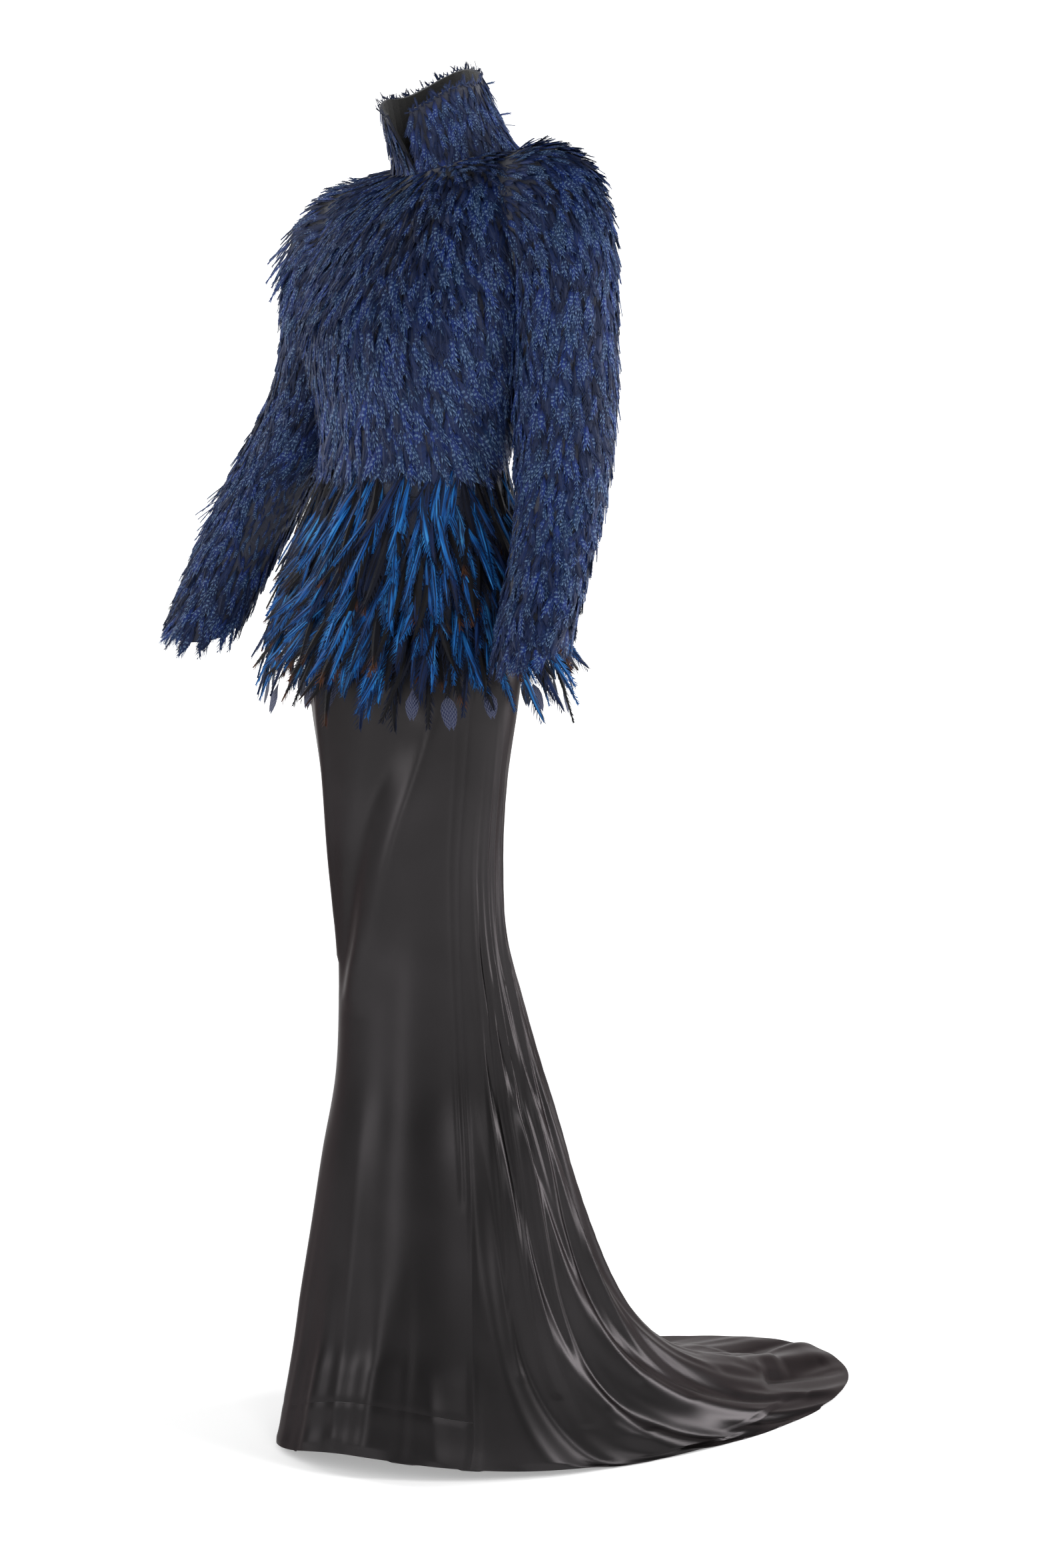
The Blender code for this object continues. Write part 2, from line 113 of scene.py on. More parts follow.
lens = bpy.data.cameras.new("photo_camera")
lens.sensor_fit = "VERTICAL"
lens.sensor_height = lens.sensor_width = SENSOR
lens.lens = SENSOR * FOCAL_SHARE
camera = bpy.data.objects.new("photo_camera", lens)
scene.collection.objects.link(camera)
camera.location = (
    math.sin(CAMERA_TURN) * CAMERA_DISTANCE,
    -math.cos(CAMERA_TURN) * CAMERA_DISTANCE,
    CAMERA_HEIGHT - SHOULDER_HEIGHT,
)
camera.rotation_euler = (math.radians(90.0) + CAMERA_PITCH, 0.0, CAMERA_TURN + CAMERA_YAW)
scene.camera = camera
print("camera at", [round(v, 3) for v in camera.location])

# %% [markdown]
# ## The cut of the cloth
# The pattern is a set of rings round the body. Each row of a table gives a ring's height in
# front, at the side and behind, its middle, its half width, and its depth ahead and behind.
# `gather` pulls the columns of cloth towards the front, which leaves the flare for the train.
# A collar ring also says by how many degrees it stands open at the centre front. A sleeve's
# rings are placed along the arm and tilted with it. The same numbers shaped the solids, so the
# finer cloth here lies on them.

# %% Pattern tables
Level = namedtuple("Level", "front side back centre width ahead behind gather")
SKIRT_LEVELS = [
    Level(1.0991, 1.0991, 1.0991, -0.018, 0.1232, 0.0917, 0.0817, 0.00),
    Level(1.020, 1.020, 1.020, -0.018, 0.138, 0.100, 0.092, 0.00),
    Level(0.940, 0.940, 0.940, -0.020, 0.146, 0.102, 0.098, 0.00),
    Level(0.860, 0.860, 0.860, -0.020, 0.138, 0.096, 0.090, 0.00),
    Level(0.780, 0.780, 0.780, -0.019, 0.125, 0.089, 0.076, 0.00),
    Level(0.690, 0.690, 0.690, -0.018, 0.113, 0.086, 0.079, 0.00),
    Level(0.600, 0.600, 0.600, -0.010, 0.107, 0.086, 0.081, 0.02),
    Level(0.515, 0.515, 0.515, 0.002, 0.109, 0.099, 0.096, 0.05),
    Level(0.430, 0.430, 0.430, 0.013, 0.117, 0.115, 0.113, 0.09),
    Level(0.345, 0.345, 0.345, 0.022, 0.136, 0.138, 0.132, 0.14),
    Level(0.268, 0.262, 0.262, 0.033, 0.153, 0.160, 0.148, 0.20),
    Level(0.200, 0.190, 0.186, 0.047, 0.170, 0.184, 0.167, 0.26),
    Level(0.142, 0.130, 0.122, 0.070, 0.186, 0.216, 0.190, 0.32),
    Level(0.111, 0.083, 0.070, 0.102, 0.203, 0.257, 0.220, 0.38),
    Level(0.083, 0.046, 0.034, 0.138, 0.220, 0.301, 0.262, 0.43),
    Level(0.058, 0.020, 0.013, 0.176, 0.237, 0.344, 0.314, 0.48),
    Level(0.039, 0.006, 0.004, 0.210, 0.250, 0.383, 0.370, 0.52),
    Level(0.026, 0.002, 0.002, 0.238, 0.259, 0.414, 0.416, 0.55),
]
BODICE_LEVELS = [
    Level(1.459, 1.477, 1.496, 0.046, 0.074, 0.065, 0.063, 0),
    Level(1.452, 1.473, 1.488, 0.044, 0.092, 0.073, 0.070, 0),
    Level(1.442, 1.466, 1.476, 0.040, 0.116, 0.081, 0.077, 0),
    Level(1.423, 1.448, 1.453, 0.034, 0.138, 0.091, 0.084, 0),
    Level(1.393, 1.408, 1.411, 0.026, 0.150, 0.104, 0.092, 0),
    Level(1.352, 1.355, 1.356, 0.018, 0.153, 0.120, 0.098, 0),
    Level(1.312, 1.312, 1.312, 0.010, 0.152, 0.130, 0.100, 0),
    Level(1.270, 1.270, 1.270, 0.004, 0.147, 0.124, 0.098, 0),
    Level(1.225, 1.225, 1.225, -0.002, 0.136, 0.107, 0.092, 0),
    Level(1.180, 1.180, 1.180, -0.010, 0.124, 0.093, 0.084, 0),
    Level(1.140, 1.140, 1.140, -0.016, 0.121, 0.089, 0.080, 0),
    Level(1.100, 1.100, 1.100, -0.018, 0.126, 0.094, 0.084, 0),
]
PEPLUM_LEVELS = [
    Level(1.0992, 1.0992, 1.0992, -0.018, 0.1260, 0.0945, 0.0845, 0),
    Level(1.050, 1.050, 1.050, -0.018, 0.143, 0.107, 0.098, 0),
    Level(1.000, 1.000, 1.000, -0.018, 0.159, 0.119, 0.110, 0),
    Level(0.950, 0.950, 0.950, -0.018, 0.171, 0.127, 0.120, 0),
    Level(0.900, 0.900, 0.900, -0.018, 0.178, 0.131, 0.128, 0),
    Level(0.850, 0.850, 0.850, -0.018, 0.183, 0.134, 0.134, 0),
]
CollarRing = namedtuple("CollarRing", "front side back centre width ahead behind gap")
COLLAR_LEVELS = [
    CollarRing(1.522, 1.552, 1.580, 0.008, 0.0600, 0.0550, 0.0540, 18.0),
    CollarRing(1.499, 1.524, 1.548, 0.022, 0.0625, 0.0565, 0.0560, 11.0),
    CollarRing(1.477, 1.497, 1.518, 0.036, 0.0670, 0.0590, 0.0590, 4.0),
    CollarRing(1.4594, 1.4774, 1.4964, 0.046, 0.0738, 0.0648, 0.0628, 0.6),
]
Ring = namedtuple("Ring", "x y height tilt forward across deep")
LEFT_SLEEVE = [
    Ring(0.102, 0.036, 1.402, 3, 0, 0.070, 0.056),
    Ring(0.130, 0.036, 1.403, 8, 0, 0.073, 0.057),
    Ring(0.152, 0.036, 1.395, 24, 0, 0.074, 0.057),
    Ring(0.168, 0.036, 1.373, 42, 0, 0.069, 0.057),
    Ring(0.178, 0.036, 1.340, 61, 0, 0.062, 0.057),
    Ring(0.182, 0.035, 1.302, 76, 2, 0.057, 0.057),
    Ring(0.186, 0.031, 1.248, 83, 5, 0.056, 0.057),
    Ring(0.193, 0.025, 1.182, 84, 9, 0.054, 0.055),
    Ring(0.200, 0.012, 1.122, 85, 15, 0.052, 0.053),
    Ring(0.211, -0.012, 1.062, 86, 21, 0.050, 0.051),
    Ring(0.222, -0.041, 1.000, 86, 22, 0.047, 0.047),
    Ring(0.232, -0.069, 0.938, 86, 22, 0.042, 0.042),
]
RIGHT_SLEEVE = [
    Ring(0.102, 0.036, 1.398, 3, 0, 0.068, 0.057),
    Ring(0.130, 0.036, 1.398, 8, 0, 0.071, 0.059),
    Ring(0.156, 0.036, 1.389, 24, 0, 0.074, 0.060),
    Ring(0.175, 0.036, 1.365, 42, 0, 0.072, 0.060),
    Ring(0.186, 0.036, 1.332, 60, 0, 0.065, 0.059),
    Ring(0.188, 0.034, 1.290, 73, 3, 0.059, 0.058),
    Ring(0.195, 0.028, 1.240, 77, 9, 0.056, 0.057),
    Ring(0.210, 0.012, 1.186, 76, 18, 0.054, 0.055),
    Ring(0.229, -0.009, 1.134, 76, 24, 0.053, 0.054),
    Ring(0.246, -0.036, 1.074, 77, 25, 0.051, 0.052),
    Ring(0.260, -0.065, 1.012, 78, 25, 0.048, 0.049),
    Ring(0.272, -0.095, 0.946, 78, 25, 0.043, 0.044),
]
TRAIN_DRIFT = 0.012
TRAIN_START = 0.12
SHOULDER_LEAN = 0.085
LEAN_START = 1.12
LEAN_RISE = 0.30
HEM_LIFT_TURN = 22.0
HEM_BAND_START = 14
SKIRT_SIDE_SEAM = 66.0
BODICE_SIDE_SEAM = 84.0
print(len(SKIRT_LEVELS), "skirt rings and", len(BODICE_LEVELS), "bodice rings")

# %% [markdown]
# ## Smooth surfaces from a few rings
# Between two rows of a table the numbers follow a smooth curve, so a dozen rings are enough
# for cloth without corners. `ring_point` turns a row and an angle into a point, `directions`
# says which way is down the cloth and which way is round it, and `outward` is square to both.
# The wearer's left shoulder is held higher, and `lean` raises that side of everything above the
# waist.

# %% Curves through the tables
def between(rows, place):
    last = len(rows) - 1
    place = min(max(place, 0.0), float(last))
    i = min(int(place), last - 1)
    t = place - i
    before, start = rows[max(i - 1, 0)], rows[i]
    end, after = rows[i + 1], rows[min(i + 2, last)]
    values = []
    for a, b, c, d in zip(before, start, end, after):
        blend = t * t * (3 - 2 * t)
        bend_in = t * (1 - t) ** 2
        bend_out = -t * t * (1 - t)
        values.append(b + (c - b) * blend + (c - a) / 2 * bend_in + (d - b) / 2 * bend_out)
    return type(start)(*values)


def ring_height(level, turn):
    towards_front = math.cos(turn)
    end = level.front if towards_front > 0 else level.back
    return level.side + (end - level.side) * towards_front**2


def ring_point(level, turn, gather=0.0):
    angle = turn - gather * math.sin(turn)
    depth = level.ahead if math.cos(angle) > 0 else level.behind
    x = level.width * math.sin(angle)
    y = level.centre - depth * math.cos(angle)
    return Vector((x, y, ring_height(level, turn) - SHOULDER_HEIGHT))


def lean(point):
    above_waist = (point.z + SHOULDER_HEIGHT - LEAN_START) / LEAN_RISE
    above_waist = min(max(above_waist, 0.0), 1.0)
    point.z += SHOULDER_LEAN * point.x * above_waist**2 * (3 - 2 * above_waist)
    return point


def directions(surface, turn, place, step=0.01):
    down = surface(turn, place + step) - surface(turn, place - step)
    around = surface(turn + step, place) - surface(turn - step, place)
    return down, around


def outward(surface, turn, place):
    down, around = directions(surface, turn, place)
    return down.cross(around).normalized()


def evenly(start, stop, count):
    return [start + (stop - start) * i / count for i in range(count + 1)]


print("a ring point:", [round(v, 3) for v in ring_point(SKIRT_LEVELS[0], 0.5)])

# %% [markdown]
# ## Folds of the satin
# A bias-cut skirt shows long soft ridges that start at the hip or the knee and fan out into
# the train. Each row of the table is one ridge: where it starts and ends round the body, in
# degrees, from which ring to which, its half width in degrees and its height. The first holds the
# large folds that the solids have too. The second adds the fine creases of the real cloth,
# uneven in length and depth, some raised and some sunk.

# %% Fold tables
Fold = namedtuple("Fold", "turn end_turn start stop wide height")
SKIRT_FOLDS = [
    Fold(54, -16, 3.0, 6.9, 15, 0.0080),
    Fold(-42, -46, 8.5, 17.0, 8, 0.0050),
    Fold(-8, -12, 10.5, 17.0, 8, 0.0050),
    Fold(24, 28, 10.5, 17.0, 8, 0.0060),
    Fold(68, 88, 9.0, 17.0, 6, 0.0065),
    Fold(71, 113, 6.2, 16.0, 7, 0.0090),
    Fold(76, 134, 5.2, 15.5, 7, 0.0110),
    Fold(85, 156, 5.2, 15.0, 7, 0.0120),
    Fold(104, 170, 4.8, 15.5, 7, 0.0100),
    Fold(128, 181, 4.8, 15.5, 7, 0.0100),
    Fold(152, 178, 13.0, 17.0, 6, 0.0090),
    Fold(288, 272, 9.0, 17.0, 6, 0.0065),
    Fold(286, 250, 6.2, 16.0, 7, 0.0090),
    Fold(280, 229, 5.2, 15.5, 7, 0.0110),
    Fold(268, 207, 5.2, 15.0, 7, 0.0110),
    Fold(246, 194, 4.8, 15.5, 7, 0.0100),
    Fold(218, 186, 4.8, 14.0, 7, 0.0080),
]
FINE_CREASES = [
    Fold(-30, -38, 9.5, 17.0, 4.5, 0.0022),
    Fold(-16, -20, 11.4, 17.0, 3.6, -0.0018),
    Fold(2, 10, 8.2, 17.0, 5.0, 0.0028),
    Fold(38, 44, 10.2, 17.0, 3.6, -0.0016),
    Fold(50, 57, 12.4, 17.0, 3.2, 0.0016),
    Fold(34, -34, 2.6, 6.8, 9.0, -0.0040),
    Fold(62, 6, 2.0, 6.2, 7.0, 0.0034),
    Fold(-24, -46, 1.6, 6.4, 8.0, 0.0040),
    Fold(74, 98, 8.5, 17.0, 2.6, -0.0030),
    Fold(73, 122, 6.0, 16.5, 2.6, -0.0035),
    Fold(80, 142, 5.2, 15.5, 2.4, 0.0032),
    Fold(79, 147, 5.6, 16.0, 2.4, -0.0040),
    Fold(92, 162, 5.0, 15.5, 2.6, 0.0036),
    Fold(98, 166, 5.4, 16.5, 2.6, -0.0038),
    Fold(112, 174, 4.6, 15.0, 2.8, 0.0030),
    Fold(118, 178, 5.0, 16.0, 2.8, -0.0036),
    Fold(138, 184, 4.6, 14.0, 2.8, 0.0030),
    Fold(104, 112, 14.0, 17.0, 3.0, 0.0030),
    Fold(124, 136, 14.2, 17.0, 2.6, -0.0024),
    Fold(142, 150, 14.0, 17.0, 2.4, 0.0028),
    Fold(166, 170, 14.4, 17.0, 3.0, 0.0034),
    Fold(190, 186, 14.0, 17.0, 3.0, 0.0030),
    Fold(204, 200, 14.4, 17.0, 2.6, -0.0024),
    Fold(222, 212, 14.0, 17.0, 3.0, 0.0032),
    Fold(284, 258, 6.6, 16.5, 2.6, -0.0032),
    Fold(277, 238, 5.6, 16.0, 2.6, -0.0036),
    Fold(272, 222, 5.2, 15.5, 2.4, 0.0032),
    Fold(262, 212, 5.6, 16.5, 2.6, -0.0036),
    Fold(240, 199, 5.0, 15.5, 2.6, 0.0030),
    Fold(226, 192, 5.2, 15.0, 2.8, -0.0032),
    Fold(206, 184, 4.8, 14.0, 2.8, 0.0026),
    Fold(58, 62, 2.2, 9.5, 1.6, -0.0013),
    Fold(76, 82, 4.2, 12.5, 1.5, 0.0021),
    Fold(80, 92, 3.4, 13.0, 1.7, -0.0023),
    Fold(84, 96, 4.6, 14.0, 1.4, 0.0021),
    Fold(87, 104, 3.0, 13.5, 1.6, 0.0026),
    Fold(91, 109, 4.0, 14.5, 1.5, -0.0026),
    Fold(95, 118, 3.2, 13.0, 1.6, 0.0023),
    Fold(98, 127, 4.4, 14.0, 1.5, -0.0029),
    Fold(103, 133, 3.0, 13.8, 1.7, 0.0029),
    Fold(108, 141, 3.8, 14.5, 1.5, -0.0026),
    Fold(114, 150, 2.8, 14.0, 1.6, 0.0029),
    Fold(121, 157, 3.6, 13.6, 1.6, -0.0029),
    Fold(130, 163, 3.0, 14.6, 1.7, 0.0026),
    Fold(141, 169, 3.8, 14.2, 1.6, -0.0026),
    Fold(154, 174, 3.2, 13.4, 1.7, 0.0026),
    Fold(168, 178, 4.0, 14.4, 1.6, -0.0023),
    Fold(186, 182, 3.4, 13.6, 1.7, 0.0023),
    Fold(199, 186, 4.2, 14.2, 1.6, -0.0026),
    Fold(213, 192, 3.2, 13.8, 1.7, 0.0026),
    Fold(228, 197, 3.8, 14.4, 1.6, -0.0029),
    Fold(239, 205, 3.0, 13.2, 1.6, 0.0029),
    Fold(250, 214, 4.0, 14.0, 1.6, -0.0026),
    Fold(259, 225, 3.2, 13.6, 1.5, 0.0026),
    Fold(267, 240, 4.4, 14.4, 1.6, -0.0023),
    Fold(275, 253, 3.4, 13.0, 1.6, 0.0023),
    Fold(283, 268, 4.2, 13.4, 1.5, -0.0021),
    Fold(150, 146, 14.6, 17.0, 2.0, 0.0020),
    Fold(158, 160, 14.2, 16.8, 1.8, -0.0023),
    Fold(174, 177, 14.0, 17.0, 1.8, 0.0029),
    Fold(182, 181, 14.6, 17.0, 1.8, -0.0026),
    Fold(196, 190, 14.2, 17.0, 2.0, 0.0022),
    Fold(212, 204, 14.8, 17.0, 2.0, -0.0018),
    Fold(132, 140, 15.0, 17.0, 1.8, 0.0023),
    Fold(116, 124, 14.6, 17.0, 2.0, -0.0018),
]
print(len(SKIRT_FOLDS), "large folds and", len(FINE_CREASES), "fine creases")

# %% [markdown]
# ## The skirt's surface
# A point of the skirt lies on its ring and drifts a little sideways along the train. Every
# ridge that passes over it then moves it outward. A ridge grows over its first third and fades
# towards its end. Along each seam the stitching pulls the cloth in.

# %% Skirt surface
SEAM_SINK = 0.0008
SEAM_WIDTH = 1.6
HEM_SEAM_WIDTH = 0.14
FOLD_REACH = 3.2
SEAM_TURNS = (SKIRT_SIDE_SEAM, 180.0, 360.0 - SKIRT_SIDE_SEAM)


def fold_height(folds, turn, place):
    degrees = math.degrees(turn) % 360
    lift = 0.0
    for fold in folds:
        if not fold.start < place <= fold.stop:
            continue
        share = (place - fold.start) / (fold.stop - fold.start)
        middle = fold.turn + (fold.end_turn - fold.turn) * share
        apart = (degrees - middle + 180) % 360 - 180
        if abs(apart) > FOLD_REACH * fold.wide:
            continue
        fade = min(1.0, 3.0 * share) * min(1.0, 0.45 + 4.0 * (1 - share))
        lift += fold.height * fade * math.exp(-((apart / fold.wide) ** 2))
    return lift


def skirt_base(turn, place):
    level = between(SKIRT_LEVELS, place)
    point = ring_point(level, turn, level.gather)
    point.z = ring_height(level, turn - math.radians(HEM_LIFT_TURN)) - SHOULDER_HEIGHT
    train_length = SKIRT_LEVELS[-1].centre + SKIRT_LEVELS[-1].behind - TRAIN_START
    along = max(0.0, point.y - TRAIN_START) / train_length
    point.x += TRAIN_DRIFT * along**1.3
    return point


def seam_sink(turn, place):
    """The stitching pulls the cloth in along each seam, over about five millimetres."""
    degrees = math.degrees(turn) % 360
    apart = min(abs((degrees - seam + 180) % 360 - 180) for seam in SEAM_TURNS)
    sink = math.exp(-((apart / SEAM_WIDTH) ** 2))
    on_front = degrees < SKIRT_SIDE_SEAM or degrees > 360 - SKIRT_SIDE_SEAM
    if on_front:
        below = (place - HEM_BAND_START) / HEM_SEAM_WIDTH
        sink = max(sink, 0.5 * math.exp(-(below**2)))
    return SEAM_SINK * sink


def skirt_surface(turn, place):
    lift = fold_height(SKIRT_FOLDS, turn, place) + fold_height(FINE_CREASES, turn, place)
    lift -= seam_sink(turn, place)
    return skirt_base(turn, place) + outward(skirt_base, turn, place) * lift


print("hem point:", [round(v, 3) for v in skirt_surface(math.pi, 17)])

# %% [markdown]
# ## From a surface to cloth
# A panel of cloth is a grid of points with an outer and an inner face a millimetre or two
# apart, closed at its edges. Columns stand closer together beside the seams, where the cloth
# dips. Each panel has a UV map in metres along its two directions, so a weave keeps its scale.

# %% Cloth panels
SATIN = 0.0012
SEAM_GAP = 0.00006


def closer_at_ends(start, stop, count, pull=0.55):
    places = []
    for i in range(count + 1):
        t = i / count
        places.append(start + (stop - start) * (t - pull * math.sin(2 * math.pi * t) / 6.2832))
    return places


def measured(points):
    length = [0.0]
    for a, b in zip(points, points[1:]):
        length.append(length[-1] + (b - a).length)
    return length


def finished(shape, name):
    mesh = bpy.data.meshes.new(name)
    shape.to_mesh(mesh)
    shape.free()
    return mesh


def face_grid(shape, uv_layer, grid, uv, facing_out):
    for j in range(len(grid) - 1):
        for i in range(len(grid[0]) - 1):
            corners = [(j, i), (j + 1, i), (j + 1, i + 1), (j, i + 1)]
            if not facing_out:
                corners.reverse()
            face = shape.faces.new([grid[row][column] for row, column in corners])
            for loop, (row, column) in zip(face.loops, corners):
                loop[uv_layer].uv = uv(row, column)


def cloth_mesh(name, outside, inside):
    """A closed wall between two grids of points, with a UV map in metres."""
    shape = bmesh.new()
    uv_layer = shape.loops.layers.uv.new("Cloth")
    down = measured([row[len(row) // 2] for row in outside])
    across = measured(outside[len(outside) // 2])

    def uv(row, column):
        return (across[column], down[row])

    outer = [[shape.verts.new(p) for p in row] for row in outside]
    inner = [[shape.verts.new(p) for p in row] for row in inside]
    face_grid(shape, uv_layer, outer, uv, True)
    face_grid(shape, uv_layer, inner, uv, False)
    for i in range(len(outer[0]) - 1):
        k = i + 1
        shape.faces.new((outer[0][i], outer[0][k], inner[0][k], inner[0][i]))
        shape.faces.new((inner[-1][i], inner[-1][k], outer[-1][k], outer[-1][i]))
    for j in range(len(outer) - 1):
        k = j + 1
        shape.faces.new((inner[j][0], inner[k][0], outer[k][0], outer[j][0]))
        shape.faces.new((outer[j][-1], outer[k][-1], inner[k][-1], inner[j][-1]))
    mesh = finished(shape, name)
    mesh.shade_smooth()
    mesh.set_sharp_from_angle(angle=math.radians(60))
    return mesh


def new_piece(name, mesh, body="root"):
    piece = bpy.data.objects.new(name, mesh)
    scene.collection.objects.link(piece)
    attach(piece, body)
    return piece


def satin_panel(name, turns, places):
    """A panel of the skirt. Where its inner face would pass the floor, both faces are raised."""
    outside, inside = [], []
    for place in places:
        outer_row, inner_row = [], []
        for degrees in turns:
            turn = math.radians(degrees)
            point = skirt_surface(turn, place)
            under = point - outward(skirt_surface, turn, place) * SATIN
            if under.z < FLOOR:
                point.z += FLOOR - under.z
                under.z = FLOOR
            outer_row.append(point)
            inner_row.append(under)
        for row in (outer_row, inner_row):
            row[0] += (row[1] - row[0]).normalized() * SEAM_GAP / 2
            row[-1] += (row[-2] - row[-1]).normalized() * SEAM_GAP / 2
        outside.append(outer_row)
        inside.append(inner_row)
    return new_piece(name, cloth_mesh(name, outside, inside))


def cut_size(surface, turns, places):
    """Width and length of the flat cloth that a panel is cut from, in metres."""
    rows = [[surface(math.radians(degrees), place) for degrees in turns] for place in places]
    width = max(measured(row)[-1] for row in rows)
    length = max(measured(column)[-1] for column in zip(*rows))
    return width, length


def one_side(piece):
    """The area of one face of a cloth piece, in square metres."""
    return sum(face.area for face in piece.data.polygons) / 2


print("cloth helpers ready")

# %% [markdown]
# ## The satin skirt
# The front is one panel from side seam to side seam, with a separate hem band that shows as a
# line about six centimetres above the hem. The back is cut in two halves that meet behind and
# run out into the train. FINE scales the number of columns and rows.

# %% Skirt panels
FINE = 1.0
BAND_GAP = 0.001
last_ring = len(SKIRT_LEVELS) - 1


def rows_between(start, stop, per_ring):
    return evenly(start, stop, max(2, round((stop - start) * per_ring * FINE)))


seam = SKIRT_SIDE_SEAM
front_turns = closer_at_ends(-seam, seam, round(84 * FINE))
above_band = rows_between(0, HEM_BAND_START - BAND_GAP, 9)
in_band = rows_between(HEM_BAND_START + BAND_GAP, last_ring, 10)
skirt_front = satin_panel("satin_front", front_turns, above_band)
hem_band = satin_panel("satin_hem_band", front_turns, in_band)
back_rows = rows_between(0, last_ring, 10)
back_columns = round(150 * FINE)
left_turns = closer_at_ends(seam, 180.0, back_columns)
right_turns = closer_at_ends(180.0, 360.0 - seam, back_columns)
skirt_left = satin_panel("satin_back_left", left_turns, back_rows)
skirt_right = satin_panel("satin_back_right", right_turns, back_rows)
width, length = cut_size(skirt_surface, evenly(seam, 180, 75), evenly(0, last_ring, 40))
print("each back panel is cut from %.2f by %.2f m of satin" % (width, length))

# %% [markdown]
# ## How the cloth was cut
# The flat size of each piece, as a dressmaker would lay it on the table: its widest width, its
# longest length and its area. The satin panels and the peplum hang from the waist seam, and the
# hem band from the front panel. The collar stands on the neck seam, so it is sewn to the same
# three pieces. Bodice, sleeves, collar and peplum keep the solids' own cloth.

# %% Cuts
Cut = namedtuple("Cut", "piece width length area hangs_from")
BODICE = ("bodice_front_left", "bodice_front_right", "bodice_back")
ARMHOLE_LEFT = ("bodice_front_left", "bodice_back")
ARMHOLE_RIGHT = ("bodice_front_right", "bodice_back")
kept = frame["nodes"]
CUTS = [
    Cut(skirt_front, 0.370, 1.065, 0.291, BODICE),
    Cut(hem_band, 0.380, 0.060, 0.0204, ("satin_front",)),
    Cut(skirt_left, 0.890, 1.445, 0.406, BODICE),
    Cut(skirt_right, 0.895, 1.445, 0.406, BODICE),
    Cut(kept["bodice_front_left"], 0.215, 0.400, 0.070, ()),
    Cut(kept["bodice_front_right"], 0.215, 0.390, 0.068, ()),
    Cut(kept["bodice_back"], 0.430, 0.410, 0.126, ()),
    Cut(kept["sleeve_left_top"], 0.225, 0.605, 0.097, ARMHOLE_LEFT),
    Cut(kept["sleeve_left_under"], 0.190, 0.510, 0.065, ARMHOLE_LEFT),
    Cut(kept["sleeve_right_top"], 0.225, 0.590, 0.091, ARMHOLE_RIGHT),
    Cut(kept["sleeve_right_under"], 0.190, 0.490, 0.063, ARMHOLE_RIGHT),
    Cut(kept["collar"], 0.430, 0.125, 0.0325, BODICE),
    Cut(kept["collar_lining"], 0.410, 0.120, 0.0305, ("collar",)),
    Cut(kept["peplum_left"], 0.470, 0.155, 0.063, BODICE),
    Cut(kept["peplum_right"], 0.470, 0.155, 0.063, BODICE),
]
for cut in CUTS:
    flat = (cut.width, cut.length)
    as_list(cut.hangs_from)
    print(cut.piece.name, "cut %.3f by %.3f m, area %.4f m2" % (*flat, one_side(cut.piece)))

# %% [markdown]
# ## The feathered ground
# The real bodice, sleeves and collar are cloth with feathers sewn on, row over row. Each sewing
# ground below is the outer face of one of those pieces as a grid of points. Every point knows
# which way its feathers lie (`flow`), how closely they are sown (`density`) and how long they
# are (`size`). The grounds themselves are never shown, only what is sown on them.

# %% Sewing grounds
BODICE_BOTTOM, BODICE_TOP = 1.10, 1.50
waist_ring = len(BODICE_LEVELS) - 1


def bodice_surface(turn, place):
    return lean(ring_point(between(BODICE_LEVELS, place), turn))


def collar_surface(turn, place):
    return lean(ring_point(between(COLLAR_LEVELS, place), turn))


def peplum_surface(turn, place):
    return ring_point(between(PEPLUM_LEVELS, place), turn)


def sleeve_surface(table, side):
    """The outer face of a sleeve as a function of the angle round it and the place along it."""

    def surface(turn, place):
        ring = between(table, place)
        tilt, forward = math.radians(ring.tilt), math.radians(ring.forward)
        middle = Vector((ring.x, ring.y, ring.height - SHOULDER_HEIGHT))
        up = math.cos(tilt)
        across = Vector((math.sin(tilt), -math.sin(forward) * up, math.cos(forward) * up))
        deep = Vector((0.0, math.cos(forward), math.sin(forward)))
        point = middle + across * ring.across * math.cos(turn)
        point += deep * ring.deep * math.sin(turn)
        return lean(Vector((point.x * side, point.y, point.z)))

    return surface


def everywhere(point):
    return True


def lie(down, around, sweep):
    """A direction on the cloth: down it, and swept round it by an angle."""
    return down.normalized() * math.cos(sweep) + around.normalized() * math.sin(sweep)


def ground_mesh(name, surface, turns, places, lay, keep=everywhere, flip=False):
    """Grid of a surface's outer face. lay gives sweep, density and size at an angle and place."""
    shape = bmesh.new()
    flow = shape.verts.layers.float_vector.new("flow")
    density = shape.verts.layers.float.new("density")
    size = shape.verts.layers.float.new("size")
    grid = []
    for place in places:
        row = []
        for degrees in turns:
            turn = math.radians(degrees)
            point = surface(turn, place)
            sweep, close, long = lay(degrees, place)
            vert = shape.verts.new(point)
            vert[flow] = lie(*directions(surface, turn, place), sweep)
            vert[density] = close if keep(point) else 0.0
            vert[size] = long
            row.append(vert)
        grid.append(row)
    for upper, lower in zip(grid, grid[1:]):
        for i in range(len(upper) - 1):
            corners = (upper[i], lower[i], lower[i + 1], upper[i + 1])
            shape.faces.new(corners[::-1] if flip else corners)
    return finished(shape, name)


